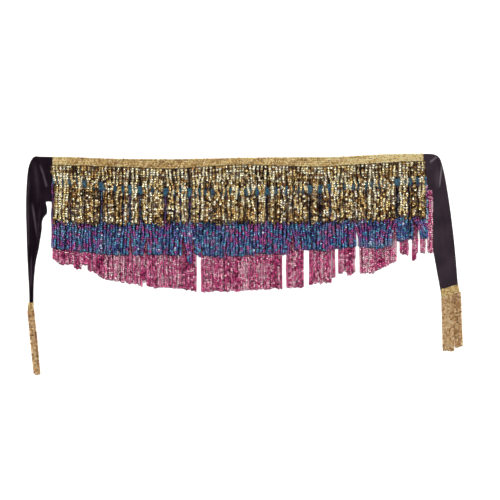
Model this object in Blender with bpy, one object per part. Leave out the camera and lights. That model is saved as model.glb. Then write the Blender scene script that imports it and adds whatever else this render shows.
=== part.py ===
"""Belly dance hip scarf, laid out flat: a black stretch panel under three rows of sequin fringe, each
hung from its own sequinned band, and two ties that turn down at its top corners and end in a fringe.

Tables and sizes are in millimetres: x along the waist, y up the cloth, and the surface that the scarf
lies on at z = 0. Meshes are made in metres.
"""

import random
from typing import NamedTuple

import bmesh
import bpy
import numpy as np

MM = 0.001
SEED = 7

# Driving sizes
CLOTH = 1.2
CLEARANCE = 0.3
BAND_THICK = 1.3
BAND_HEIGHT = 21.0
BACKING = 4.0
TAPE_GAP = 0.6
BACKING_THICK = 1.2
LOCK_PITCH = 17.0
LOCK_GAP = 1.4
LOCK_THICK = 2.6
LOCK_CROWN = 0.62
THICKENING = 6.0
TIP_LENGTH = 14.0
TIP_SHARE = 0.5
TIP_THICK = 1.2
RAGGED = 1.5

# Locks on the ties' ends
LEFT_END_PITCH = 3.9
LEFT_END_GAP = 0.6
RIGHT_END_PITCH = 9.0
RIGHT_END_GAP = 1.2

# How far down the locks have drifted to where their tips lie, as a share of their length
ROW_SETTLE = 0.5
LEFT_END_SETTLE = 1.0
RIGHT_END_SETTLE = 0.25

# Ends of the panel and of what is sewn across it
PANEL_LEFT = -467.0
PANEL_RIGHT = 440.0
TRIM_LEFT = -479.0
GOLD_RIGHT = 450.0
BLUE_RIGHT = 458.0
MAGENTA_RIGHT = 472.0

# Heights that the layers lie at
ON_CLOTH = CLOTH + CLEARANCE
NEAR_FLOOR = 0.5
MAGENTA_TOP = 3.1
OVER_MAGENTA = MAGENTA_TOP + CLEARANCE
OVER_BLUE = ON_CLOTH + LOCK_THICK + CLEARANCE
OVER_BOTH = OVER_MAGENTA + LOCK_THICK + CLEARANCE


class EdgePoint(NamedTuple):
    """One station along the panel: its top edge, and how far below it each line across it lies."""

    x: float
    top: float
    gold_foot: float
    blue_head: float
    panel_foot: float


PANEL_EDGES = (
    EdgePoint(x=-495, top=269.5, gold_foot=19.5, blue_head=44.0, panel_foot=111.0),
    EdgePoint(x=-447, top=268.4, gold_foot=19.5, blue_head=50.0, panel_foot=117.0),
    EdgePoint(x=-357, top=265.2, gold_foot=19.5, blue_head=59.5, panel_foot=139.5),
    EdgePoint(x=-260, top=263.3, gold_foot=21.0, blue_head=67.5, panel_foot=150.0),
    EdgePoint(x=-185, top=263.0, gold_foot=23.5, blue_head=72.0, panel_foot=156.0),
    EdgePoint(x=-97, top=264.3, gold_foot=19.0, blue_head=74.0, panel_foot=162.0),
    EdgePoint(x=-10, top=266.6, gold_foot=16.5, blue_head=75.5, panel_foot=166.0),
    EdgePoint(x=90, top=267.7, gold_foot=20.0, blue_head=73.5, panel_foot=162.0),
    EdgePoint(x=190, top=268.0, gold_foot=23.5, blue_head=69.0, panel_foot=156.0),
    EdgePoint(x=255, top=269.6, gold_foot=21.0, blue_head=65.0, panel_foot=146.0),
    EdgePoint(x=340, top=274.8, gold_foot=21.0, blue_head=63.5, panel_foot=134.0),
    EdgePoint(x=440, top=276.9, gold_foot=18.0, blue_head=58.5, panel_foot=116.5),
    EdgePoint(x=490, top=277.1, gold_foot=17.5, blue_head=57.0, panel_foot=109.0),
)


class Clump(NamedTuple):
    """Strands that hang together: their span at the roots, their span at the tips, and the tips' y."""

    root: float
    root_end: float
    tip: float
    tip_end: float
    tip_y: float
    tip_y_end: float


GOLD_CLUMPS = (
    Clump(root=-479, root_end=-437, tip=-471, tip_end=-439, tip_y=107, tip_y_end=104),
    Clump(root=-437, root_end=-400, tip=-429, tip_end=-404, tip_y=105, tip_y_end=103),
    Clump(root=-400, root_end=-357, tip=-393, tip_end=-365, tip_y=102, tip_y_end=99),
    Clump(root=-357, root_end=-312, tip=-348, tip_end=-313, tip_y=105, tip_y_end=102),
    Clump(root=-312, root_end=-265, tip=-311, tip_end=-266, tip_y=101, tip_y_end=103),
    Clump(root=-254, root_end=-227, tip=-252, tip_end=-230, tip_y=108, tip_y_end=104),
    Clump(root=-227, root_end=-197, tip=-226, tip_end=-204, tip_y=104, tip_y_end=100),
    Clump(root=-197, root_end=-142, tip=-189, tip_end=-143, tip_y=107, tip_y_end=104),
    Clump(root=-131, root_end=-97, tip=-128, tip_end=-101, tip_y=103, tip_y_end=105),
    Clump(root=-97, root_end=-80, tip=-95, tip_end=-83, tip_y=106, tip_y_end=108),
    Clump(root=-80, root_end=-46, tip=-75, tip_end=-48, tip_y=104, tip_y_end=104),
    Clump(root=-46, root_end=-12, tip=-41, tip_end=-15, tip_y=106, tip_y_end=107),
    Clump(root=-12, root_end=2, tip=-9, tip_end=0, tip_y=108, tip_y_end=108),
    Clump(root=2, root_end=78, tip=9, tip_end=75, tip_y=106, tip_y_end=105),
    Clump(root=78, root_end=148, tip=83, tip_end=145, tip_y=106, tip_y_end=107),
    Clump(root=148, root_end=160, tip=149, tip_end=159, tip_y=106, tip_y_end=106),
    Clump(root=160, root_end=190, tip=172, tip_end=184, tip_y=105, tip_y_end=105),
    Clump(root=190, root_end=250, tip=197, tip_end=248, tip_y=105, tip_y_end=109),
    Clump(root=250, root_end=273, tip=254, tip_end=271, tip_y=110, tip_y_end=111),
    Clump(root=273, root_end=320, tip=277, tip_end=317, tip_y=111, tip_y_end=112),
    Clump(root=320, root_end=379, tip=324, tip_end=376, tip_y=110, tip_y_end=116),
    Clump(root=388, root_end=450, tip=389, tip_end=450, tip_y=118, tip_y_end=121),
)

BLUE_CLUMPS = (
    Clump(root=-479, root_end=-395, tip=-479, tip_end=-397, tip_y=41, tip_y_end=32),
    Clump(root=-395, root_end=-285, tip=-392, tip_end=-291, tip_y=31, tip_y_end=23),
    Clump(root=-285, root_end=-242, tip=-276, tip_end=-252, tip_y=23, tip_y_end=25),
    Clump(root=-242, root_end=-150, tip=-240, tip_end=-158, tip_y=26, tip_y_end=23),
    Clump(root=-150, root_end=-133, tip=-140, tip_end=-130, tip_y=5, tip_y_end=3),
    Clump(root=-133, root_end=-108, tip=-121, tip_end=-109, tip_y=26, tip_y_end=22),
    Clump(root=-108, root_end=-42, tip=-102, tip_end=-47, tip_y=22, tip_y_end=18),
    Clump(root=-42, root_end=30, tip=-40, tip_end=26, tip_y=21, tip_y_end=25),
    Clump(root=30, root_end=93, tip=33, tip_end=88, tip_y=28, tip_y_end=27),
    Clump(root=93, root_end=122, tip=92, tip_end=113, tip_y=27, tip_y_end=26),
    Clump(root=122, root_end=140, tip=129, tip_end=139, tip_y=35, tip_y_end=38),
    Clump(root=140, root_end=215, tip=146, tip_end=213, tip_y=37, tip_y_end=36),
    Clump(root=215, root_end=280, tip=217, tip_end=279, tip_y=39, tip_y_end=44),
    Clump(root=280, root_end=335, tip=288, tip_end=333, tip_y=45, tip_y_end=41),
    Clump(root=335, root_end=378, tip=336, tip_end=369, tip_y=41, tip_y_end=47),
    Clump(root=378, root_end=408, tip=385, tip_end=402, tip_y=60, tip_y_end=61),
    Clump(root=408, root_end=420, tip=411, tip_end=421.5, tip_y=64, tip_y_end=64),
    Clump(root=420, root_end=458, tip=441.5, tip_end=459, tip_y=64, tip_y_end=66),
)

MAGENTA_CLUMPS = (
    Clump(root=-479, root_end=-460, tip=-478, tip_end=-459, tip_y=15, tip_y_end=1),
    Clump(root=-460, root_end=-427, tip=-457, tip_end=-426, tip_y=1, tip_y_end=1),
    Clump(root=-427, root_end=-409, tip=-424, tip_end=-407, tip_y=-12, tip_y_end=-13),
    Clump(root=-409, root_end=-390, tip=-406, tip_end=-391, tip_y=0, tip_y_end=0),
    Clump(root=-390, root_end=-345, tip=-390, tip_end=-345, tip_y=-13, tip_y_end=-37),
    Clump(root=-345, root_end=-255, tip=-345, tip_end=-255, tip_y=-38, tip_y_end=-52),
    Clump(root=-255, root_end=-238, tip=-255, tip_end=-239, tip_y=-41, tip_y_end=-52),
    Clump(root=-238, root_end=-210, tip=-239, tip_end=-212, tip_y=-56, tip_y_end=-58),
    Clump(root=-210, root_end=-150, tip=-211, tip_end=-150, tip_y=-57, tip_y_end=-60),
    Clump(root=-150, root_end=-117, tip=-150, tip_end=-119, tip_y=-62, tip_y_end=-67),
    Clump(root=-117, root_end=0, tip=-106, tip_end=0, tip_y=-68, tip_y_end=-65),
    Clump(root=0, root_end=98, tip=0, tip_end=95, tip_y=-65, tip_y_end=-59),
    Clump(root=98, root_end=153, tip=107, tip_end=149, tip_y=-58, tip_y_end=-55),
    Clump(root=153, root_end=218, tip=164, tip_end=218, tip_y=-50, tip_y_end=-44),
    Clump(root=218, root_end=230, tip=221.5, tip_end=227.5, tip_y=-33, tip_y_end=-32),
    Clump(root=230, root_end=262, tip=237, tip_end=258, tip_y=-22, tip_y_end=-17),
    Clump(root=262, root_end=283, tip=259, tip_end=278, tip_y=-28, tip_y_end=-20),
    Clump(root=283, root_end=325, tip=290.5, tip_end=324, tip_y=-21, tip_y_end=-20),
    Clump(root=325, root_end=387, tip=324, tip_end=381, tip_y=-18, tip_y_end=9),
    Clump(root=387, root_end=410, tip=393, tip_end=408.5, tip_y=28, tip_y_end=24),
    Clump(root=410, root_end=427, tip=422, tip_end=430, tip_y=12, tip_y_end=12),
    Clump(root=427, root_end=438, tip=430, tip_end=434.5, tip_y=27, tip_y_end=28),
    Clump(root=438, root_end=457, tip=442, tip_end=453, tip_y=32, tip_y_end=28),
    Clump(root=457, root_end=472, tip=460.5, tip_end=471.5, tip_y=32, tip_y_end=31),
)

LEFT_TIE_CLUMPS = (
    Clump(root=-541.0, root_end=-524.0, tip=-526.0, tip_end=-508.5, tip_y=-273.0, tip_y_end=-277.0),
)

RIGHT_TIE_CLUMPS = (
    Clump(root=495.5, root_end=522.0, tip=499.0, tip_end=525.0, tip_y=-214.0, tip_y_end=-215.0),
    Clump(root=522.0, root_end=541.5, tip=530.0, tip_end=546.0, tip_y=-208.0, tip_y_end=-203.0),
)


class Section(NamedTuple):
    """A line across a tie from its outer edge to its inner one, and how far its folds are filled."""

    outer_x: float
    outer_y: float
    inner_x: float
    inner_y: float
    filled: float = 0.0


LEFT_TIE_SECTIONS = (
    Section(outer_x=-467.3, outer_y=268.9, inner_x=-467.3, inner_y=153.0),
    Section(outer_x=-490.0, outer_y=269.6, inner_x=-484.0, inner_y=157.0),
    Section(outer_x=-510.0, outer_y=270.1, inner_x=-494.0, inner_y=157.0),
    Section(outer_x=-524.0, outer_y=269.9, inner_x=-495.0, inner_y=153.5),
    Section(outer_x=-533.5, outer_y=258.4, inner_x=-492.5, inner_y=139.7),
    Section(outer_x=-539.8, outer_y=238.4, inner_x=-493.3, inner_y=127.2),
    Section(outer_x=-543.0, outer_y=207.1, inner_x=-500.3, inner_y=118.4),
    Section(outer_x=-544.5, outer_y=173.4, inner_x=-504.8, inner_y=107.2, filled=0.1),
    Section(outer_x=-545.0, outer_y=135.9, inner_x=-505.8, inner_y=88.4, filled=0.2),
    Section(outer_x=-544.0, outer_y=95.9, inner_x=-508.8, inner_y=68.4, filled=0.35),
    Section(outer_x=-542.8, outer_y=53.4, inner_x=-513.3, inner_y=40.9, filled=0.5),
    Section(outer_x=-541.0, outer_y=10.9, inner_x=-520.8, inner_y=5.9, filled=0.7),
    Section(outer_x=-539.3, outer_y=-29.1, inner_x=-524.8, inner_y=-31.6, filled=0.9),
    Section(outer_x=-537.3, outer_y=-64.1, inner_x=-526.3, inner_y=-64.1, filled=1.0),
    Section(outer_x=-536.5, outer_y=-95.3, inner_x=-526.5, inner_y=-95.3, filled=1.0),
)

RIGHT_TIE_SECTIONS = (
    Section(outer_x=440.3, outer_y=276.9, inner_x=440.3, inner_y=160.4),
    Section(outer_x=462.8, outer_y=277.1, inner_x=443.0, inner_y=158.4),
    Section(outer_x=478.8, outer_y=274.7, inner_x=445.3, inner_y=155.9),
    Section(outer_x=489.8, outer_y=266.8, inner_x=447.8, inner_y=150.9),
    Section(outer_x=496.6, outer_y=248.8, inner_x=450.8, inner_y=140.9),
    Section(outer_x=503.8, outer_y=218.4, inner_x=455.3, inner_y=120.9),
    Section(outer_x=509.8, outer_y=183.4, inner_x=460.3, inner_y=95.9),
    Section(outer_x=516.5, outer_y=138.4, inner_x=466.5, inner_y=65.9),
    Section(outer_x=522.3, outer_y=93.4, inner_x=472.8, inner_y=38.4),
    Section(outer_x=527.8, outer_y=43.4, inner_x=478.5, inner_y=8.4),
    Section(outer_x=531.8, outer_y=-1.6, inner_x=484.8, inner_y=-26.6),
    Section(outer_x=535.8, outer_y=-49.1, inner_x=491.8, inner_y=-63.1),
    Section(outer_x=540.5, outer_y=-70.4, inner_x=495.0, inner_y=-83.1),
)


class Crease(NamedTuple):
    """A soft ridge on a tie: its line, its height, its half width, and if it runs on to the tie's end."""

    line: tuple
    rise: float
    half_width: float
    runs_on: bool = False


LEFT_TIE_CREASES = (
    Crease(line=((-524, 261), (-501, 231), (-492, 196)), rise=4.0, half_width=5.0),
    Crease(line=((-527, 223), (-525, 146), (-518, 91), (-512, 56)), rise=5.0, half_width=5.0),
    Crease(
        line=((-537, 241), (-540, 161), (-539, 96), (-538, 23), (-535, -34), (-534, -96)),
        rise=4.0,
        half_width=4.5,
        runs_on=True,
    ),
    Crease(
        line=((-507, 186), (-509, 126), (-513, 81), (-518, 46), (-525, 1), (-529, -96)),
        rise=4.5,
        half_width=4.5,
        runs_on=True,
    ),
)

RIGHT_TIE_CREASES = (
    Crease(line=((487, 262), (491, 241), (493, 186)), rise=3.0, half_width=4.5),
    Crease(line=((490, 148), (497, 96), (504, 16)), rise=2.0, half_width=7.0),
)

# How finely the cloth and the tapes are divided
PANEL_COLUMNS = 26
BAND_COLUMNS = 32
TIE_ROWS = 2
TIE_COLUMNS = 9
RIM = 7.0
CREASE_SHARE = 0.2

# The gathered band on the left tie's end
BUNCH_TOP = -95.6
BUNCH_FOOT = -112.0
BUNCH_ENDS = ((-538.6, -526.4), (-539.6, -526.2))
BUNCH_HEIGHT = 5.6
BUNCH_EDGE = 2.4
BUNCH_COLUMNS = 8
BUNCH_ROWS = 4


class Lock(NamedTuple):
    """One lock of strands: the corners of its root and of its tip, left then right, as (x, y)."""

    root: tuple
    tip: tuple


class Level(NamedTuple):
    """A place down a row of fringe and the heights that its locks lie between there."""

    y: float
    low: float
    high: float


def mix(a, b, t):
    """The value a share t of the way from a to b."""
    return a + (b - a) * t


def ease(t):
    """0 to 1 with a soft start and a soft end."""
    t = min(max(t, 0.0), 1.0)
    return t * t * (3 - 2 * t)


def smooth(at, places, values):
    """A smooth curve through a table's points."""
    places = np.asarray(places, float)
    values = np.asarray(values, float)
    slopes = np.gradient(values, places)
    at = float(np.clip(at, places[0], places[-1]))
    i = min(int(np.searchsorted(places, at, side="right")) - 1, len(places) - 2)
    span = places[i + 1] - places[i]
    t = (at - places[i]) / span
    start = (1 + 2 * t) * (1 - t) ** 2 * values[i] + t * (1 - t) ** 2 * span * slopes[i]
    end = t * t * (3 - 2 * t) * values[i + 1] + t * t * (t - 1) * span * slopes[i + 1]
    return float(start + end)


def edge(x, column):
    """A column of the panel's table at x."""
    return smooth(x, [p.x for p in PANEL_EDGES], [getattr(p, column) for p in PANEL_EDGES])


def top_edge(x):
    """The panel's top edge."""
    return edge(x, "top")


def gold_foot(x):
    """The line that the gold row hangs from."""
    return top_edge(x) - edge(x, "gold_foot")


def blue_head(x):
    """The upper edge of the blue band."""
    return top_edge(x) - edge(x, "blue_head")


def blue_foot(x):
    """The line that the blue row hangs from."""
    return blue_head(x) - BAND_HEIGHT


def panel_foot(x):
    """The panel's lower edge, which the magenta row hangs from."""
    return top_edge(x) - edge(x, "panel_foot")


def magenta_head(x):
    """The upper edge of the magenta band."""
    return panel_foot(x) + BAND_HEIGHT


def left_end_line(x):
    """The line that the left tie's fringe hangs from."""
    return BUNCH_FOOT - CLEARANCE - BACKING


def right_end_line(x):
    """The line that the right tie's fringe hangs from, which is the end of its cloth."""
    end = RIGHT_TIE_SECTIONS[-1]
    return mix(end.inner_y, end.outer_y, (x - end.inner_x) / (end.outer_x - end.inner_x))


def gold_levels(x):
    """The gold locks lie on the cloth, climb over the blue band, and climb again where blue does."""
    return (
        Level(gold_foot(x), ON_CLOTH, ON_CLOTH + BACKING_THICK),
        Level(gold_foot(x) - THICKENING, ON_CLOTH, ON_CLOTH + LOCK_THICK),
        Level(blue_head(x) + 10, ON_CLOTH, ON_CLOTH + LOCK_THICK),
        Level(blue_head(x) + 3, OVER_BLUE, OVER_BLUE + LOCK_THICK),
        Level(magenta_head(x) + 20, OVER_BLUE, OVER_BLUE + LOCK_THICK),
        Level(magenta_head(x) + 13, OVER_BOTH, OVER_BOTH + LOCK_THICK),
    )


def blue_levels(x):
    """The blue locks lie on the cloth and climb over the magenta band."""
    return (
        Level(blue_foot(x), ON_CLOTH, ON_CLOTH + BACKING_THICK),
        Level(blue_foot(x) - 2, ON_CLOTH, ON_CLOTH + LOCK_THICK),
        Level(magenta_head(x) + 10, ON_CLOTH, ON_CLOTH + LOCK_THICK),
        Level(magenta_head(x) + 3, OVER_MAGENTA, OVER_MAGENTA + LOCK_THICK),
    )


def magenta_levels(x):
    """The magenta locks sink to the floor past the panel's edge, but for those on the right tie."""
    foot = panel_foot(x)
    low = NEAR_FLOOR if x < PANEL_RIGHT - LOCK_PITCH else ON_CLOTH
    return (
        Level(foot, ON_CLOTH, ON_CLOTH + BACKING_THICK),
        Level(foot - THICKENING, ON_CLOTH, MAGENTA_TOP),
        Level(foot - 2 * THICKENING, low, MAGENTA_TOP),
    )


def left_end_levels(x):
    """The left tie's locks are bunched, so they are as deep as its band."""
    line = left_end_line(x)
    return (
        Level(line, NEAR_FLOOR, BUNCH_HEIGHT - 1.0),
        Level(line - 2 * THICKENING, NEAR_FLOOR, BUNCH_HEIGHT),
    )


def right_end_levels(x):
    """The right tie's locks leave its cloth and sink to the floor."""
    line = right_end_line(x)
    return (
        Level(line, ON_CLOTH, ON_CLOTH + BACKING_THICK),
        Level(line - 2 * THICKENING, NEAR_FLOOR, MAGENTA_TOP),
    )


def new_material(name, colour, roughness, metallic):
    """A plain Principled material."""
    material = bpy.data.materials.new(name)
    material.use_nodes = True
    shader = material.node_tree.nodes["Principled BSDF"]
    shader.inputs["Base Color"].default_value = (*colour, 1.0)
    shader.inputs["Roughness"].default_value = roughness
    shader.inputs["Metallic"].default_value = metallic
    return material


def to_object(bm, name, look):
    """Makes a bmesh in millimetres an object in metres, with its own material of that look."""
    bmesh.ops.recalc_face_normals(bm, faces=bm.faces)
    bmesh.ops.scale(bm, vec=(MM, MM, MM), verts=bm.verts)
    mesh = bpy.data.meshes.new(name)
    bm.to_mesh(mesh)
    bm.free()
    mesh.materials.append(new_material(f"{name}_finish", *look))
    obj = bpy.data.objects.new(name, mesh)
    bpy.context.scene.collection.objects.link(obj)
    return obj


def wall(rows):
    """A closed wall over rows of (x, y, underside, top) points, and the faces along its last column."""
    bm = bmesh.new()
    unders = [[bm.verts.new((x, y, under)) for x, y, under, _ in row] for row in rows]
    tops = [[bm.verts.new((x, y, top)) for x, y, _, top in row] for row in rows]
    last_row, last = len(rows) - 1, len(rows[0]) - 1
    for i in range(last_row):
        for j in range(last):
            for layer in (unders, tops):
                bm.faces.new((layer[i][j], layer[i + 1][j], layer[i + 1][j + 1], layer[i][j + 1]))
    for j in range(last):
        for i in (0, last_row):
            bm.faces.new((unders[i][j], unders[i][j + 1], tops[i][j + 1], tops[i][j]))
    ends = []
    for i in range(last_row):
        for j in (0, last):
            ends.append(bm.faces.new((unders[i][j], unders[i + 1][j], tops[i + 1][j], tops[i][j])))
    return bm, ends[1::2]


def build_panel(look):
    """The flat panel between the two seams."""
    rows = []
    for i in range(PANEL_COLUMNS + 1):
        x = mix(PANEL_LEFT, PANEL_RIGHT, i / PANEL_COLUMNS)
        middle = mix(top_edge(x), panel_foot(x), 0.5)
        rows.append([(x, y, 0.0, CLOTH) for y in (top_edge(x), middle, panel_foot(x))])
    return to_object(wall(rows)[0], "panel", look)


def nearest_on(line, x, y):
    """The distance from a point to a line of points, and how far along it the nearest place is."""
    best, along = float("inf"), 0.0
    for k in range(len(line) - 1):
        (ax, ay), (bx, by) = line[k], line[k + 1]
        t = ((x - ax) * (bx - ax) + (y - ay) * (by - ay)) / ((bx - ax) ** 2 + (by - ay) ** 2)
        t = min(max(t, 0.0), 1.0)
        distance = np.hypot(x - mix(ax, bx, t), y - mix(ay, by, t))
        if distance < best:
            best, along = distance, (k + t) / (len(line) - 1)
    return best, along


def lift_at(creases, x, y, width):
    """How far the creases lift the cloth at a point, on a stretch of that width."""
    total = 0.0
    for crease in creases:
        distance, along = nearest_on(crease.line, x, y)
        half = min(crease.half_width, CREASE_SHARE * width)
        fade = ease(along * 5) if crease.runs_on else ease(along * 5) * ease((1 - along) * 4)
        total += crease.rise * fade * np.exp(-((distance / half) ** 2))
    return float(total)


def build_tie(name, sections, creases, look):
    """A tie's wall, with its creases raised, hollow beneath where it is spread and solid where filled."""
    steps = (len(sections) - 1) * TIE_ROWS
    places = range(len(sections))
    rows = []
    for i in range(steps + 1):
        at = i / TIE_ROWS
        here = Section(*(smooth(at, places, [s[c] for s in sections]) for c in range(len(Section._fields))))
        width = np.hypot(here.outer_x - here.inner_x, here.outer_y - here.inner_y)
        row = []
        for j in range(TIE_COLUMNS + 1):
            f = j / TIE_COLUMNS
            x = mix(here.outer_x, here.inner_x, f)
            y = mix(here.outer_y, here.inner_y, f)
            lift = lift_at(creases, x, y, width) * ease(at)
            hollow = lift * ease(min(f, 1 - f) * width / RIM) * (1 - min(max(here.filled, 0.0), 1.0))
            row.append((x, y, hollow, CLOTH + lift))
        rows.append(row)
    return to_object(wall(rows)[0], name, look)


def build_band(name, pairs, low, look):
    """A tape whose pairs are the (x, y) of its upper and its lower edge, station by station."""
    rows = [[(x, y, low, low + BAND_THICK) for x, y in pair] for pair in pairs]
    return to_object(wall(rows)[0], name, look)


def across(left, right, head, foot):
    """Pairs for a tape across the panel between two curves."""
    places = [mix(left, right, i / BAND_COLUMNS) for i in range(BAND_COLUMNS + 1)]
    return [((x, head(x)), (x, foot(x) + BACKING + TAPE_GAP)) for x in places]


def right_end_pairs():
    """Pairs for the tape across the right tie's end, over its last two sections."""
    head, foot = RIGHT_TIE_SECTIONS[-2], RIGHT_TIE_SECTIONS[-1]
    pairs = []
    for i in range(BUNCH_COLUMNS + 1):
        f = i / BUNCH_COLUMNS
        upper = (mix(head.inner_x, head.outer_x, f), mix(head.inner_y, head.outer_y, f))
        x = mix(foot.inner_x, foot.outer_x, f)
        pairs.append((upper, (x, right_end_line(x) + BACKING + TAPE_GAP)))
    return pairs


def build_bunched_band(name, look):
    """The tape round the left tie's end, gathered into a low mound that is flat beneath."""
    rows = []
    for i in range(BUNCH_COLUMNS + 1):
        f = i / BUNCH_COLUMNS
        top = mix(BUNCH_EDGE, BUNCH_HEIGHT, 1 - (2 * f - 1) ** 4)
        row = []
        for j in range(BUNCH_ROWS + 1):
            g = j / BUNCH_ROWS
            ends = [mix(a, b, g) for a, b in zip(*BUNCH_ENDS)]
            row.append((mix(*ends, f), mix(BUNCH_TOP, BUNCH_FOOT, g), 0.0, top))
        rows.append(row)
    return to_object(wall(rows)[0], name, look)


def locks_of(clumps, root_line, pitch, gap, rng):
    """The locks of each clump, side by side from its roots to its tips."""
    locks = []
    for clump in clumps:
        count = max(1, round((clump.root_end - clump.root) / pitch))
        for k in range(count):
            root, tip = [], []
            ragged = rng.uniform(-RAGGED, RAGGED) if 0 < k < count - 1 else 0.0
            for share, inward in ((k / count, gap / 2), ((k + 1) / count, -gap / 2)):
                x = mix(clump.root, clump.root_end, share) + inward
                root.append((x, root_line(x)))
                x = mix(clump.tip, clump.tip_end, share) + inward
                tip.append((x, mix(clump.tip_y, clump.tip_y_end, (k + 0.5) / count) + ragged))
            locks.append(Lock(root=tuple(root), tip=tuple(tip)))
    return locks


def stations_of(lock, levels, settle):
    """How far down a lock its rings lie, 0 to 1, at each change of level, of direction and of width."""
    root_y = mix(lock.root[0][1], lock.root[1][1], 0.5)
    length = root_y - lock.tip[0][1]
    taper = 1 - TIP_LENGTH / length
    fixed = [(root_y - level.y) / length for level in levels[1:]] + [taper]
    bends = [t for t in (settle * 0.5, settle) if all(abs(t - f) * length > 7 for f in fixed)]
    inside = [t for t in sorted(fixed + bends) if t <= taper]
    return inside + [1.0]


def ring_of(lock, levels, settle, t):
    """The corners of a lock's section a share t of the way down: [side][level] as (x, y, z)."""
    drift = ease(t / settle)
    length = lock.root[0][1] - lock.tip[0][1]
    slim = min(1.0, mix(TIP_SHARE, 1.0, (1 - t) * length / TIP_LENGTH))
    edges = [mix(lock.root[s][0], lock.tip[s][0], drift) for s in (0, 1)]
    middle = mix(*edges, 0.5)
    y = mix(mix(lock.root[0][1], lock.root[1][1], 0.5), lock.tip[0][1], t)
    downs = [-level.y for level in levels]
    low = float(np.interp(-y, downs, [level.low for level in levels]))
    high = float(np.interp(-y, downs, [level.high for level in levels]))
    high = mix(low + TIP_THICK, high, (slim - TIP_SHARE) / (1 - TIP_SHARE))
    crown = mix(1.0, LOCK_CROWN, ease(t * length / THICKENING))
    ring = []
    for side in edges:
        low_x = mix(middle, side, slim)
        ring.append(((low_x, y, low), (mix(middle, low_x, crown), y, high)))
    return ring


def build_fringe(name, locks, levels_at, settle, look):
    """A narrow strip with its locks drawn out of its lower side, ring by ring."""
    rows = []
    for lock in locks:
        for x, y in lock.root:
            level = levels_at(x)[0]
            rows.append([(x, y + BACKING, level.low, level.high), (x, y, level.low, level.high)])
    bm, feet = wall(rows)
    for lock, face in zip(locks, feet[::2]):
        levels = levels_at(mix(lock.root[0][0], lock.root[1][0], 0.5))
        for t in stations_of(lock, levels, settle):
            ring = ring_of(lock, levels, settle, t)
            face = bmesh.ops.extrude_discrete_faces(bm, faces=[face])["faces"][0]
            middle = face.calc_center_median()
            for vert in face.verts:
                vert.co = ring[vert.co.x > middle.x][vert.co.z > middle.z]
    return to_object(bm, name, look)


def centre(objects):
    """Moves the meshes together so that the middle of them all is at x = 0, y = 0."""
    points = [vert.co for obj in objects for vert in obj.data.vertices]
    middle = [(min(p[a] for p in points) + max(p[a] for p in points)) / 2 for a in (0, 1)]
    for obj in objects:
        for vert in obj.data.vertices:
            vert.co.x -= middle[0]
            vert.co.y -= middle[1]


def main():
    for obj in list(bpy.data.objects):
        bpy.data.objects.remove(obj, do_unlink=True)

    black = ((0.012, 0.009, 0.013), 0.85, 0.0)
    gold = ((0.52, 0.36, 0.13), 0.3, 0.9)
    blue = ((0.035, 0.06, 0.2), 0.3, 0.8)
    magenta = ((0.42, 0.045, 0.14), 0.3, 0.8)
    rng = random.Random(SEED)

    gold_locks = locks_of(GOLD_CLUMPS, gold_foot, LOCK_PITCH, LOCK_GAP, rng)
    blue_locks = locks_of(BLUE_CLUMPS, blue_foot, LOCK_PITCH, LOCK_GAP, rng)
    magenta_locks = locks_of(MAGENTA_CLUMPS, panel_foot, LOCK_PITCH, LOCK_GAP, rng)
    left_locks = locks_of(LEFT_TIE_CLUMPS, left_end_line, LEFT_END_PITCH, LEFT_END_GAP, rng)
    right_locks = locks_of(RIGHT_TIE_CLUMPS, right_end_line, RIGHT_END_PITCH, RIGHT_END_GAP, rng)

    magenta_tape = across(TRIM_LEFT, MAGENTA_RIGHT, magenta_head, panel_foot)
    pieces = [
        build_panel(black),
        build_tie("left_tie", LEFT_TIE_SECTIONS, LEFT_TIE_CREASES, black),
        build_tie("right_tie", RIGHT_TIE_SECTIONS, RIGHT_TIE_CREASES, black),
        build_band("gold_band", across(TRIM_LEFT, GOLD_RIGHT, top_edge, gold_foot), ON_CLOTH, gold),
        build_band("blue_band", across(TRIM_LEFT, BLUE_RIGHT, blue_head, blue_foot), ON_CLOTH, blue),
        build_band("magenta_band", magenta_tape, ON_CLOTH, magenta),
        build_bunched_band("left_tie_band", gold),
        build_band("right_tie_band", right_end_pairs(), ON_CLOTH, gold),
        build_fringe("gold_fringe", gold_locks, gold_levels, ROW_SETTLE, gold),
        build_fringe("blue_fringe", blue_locks, blue_levels, ROW_SETTLE, blue),
        build_fringe("magenta_fringe", magenta_locks, magenta_levels, ROW_SETTLE, magenta),
        build_fringe("left_tie_fringe", left_locks, left_end_levels, LEFT_END_SETTLE, gold),
        build_fringe("right_tie_fringe", right_locks, right_end_levels, RIGHT_END_SETTLE, gold),
    ]
    centre(pieces)


main()
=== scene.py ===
"""Looks of a belly dance hip scarf that lies flat, seen from straight above.

A black stretch panel carries three sequinned tapes, and a row of sequin strings hangs from each: gold at
the top, blue below it and magenta below that. A tie turns down at each top corner and ends in a short
fringe of its own. The tables and sizes of the layout are in millimetres, x along the waist and y up the
cloth, and meshes are made in metres.
"""

import logging
import math
from dataclasses import dataclass
from enum import Enum
from typing import Callable, NamedTuple, Sequence

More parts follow.
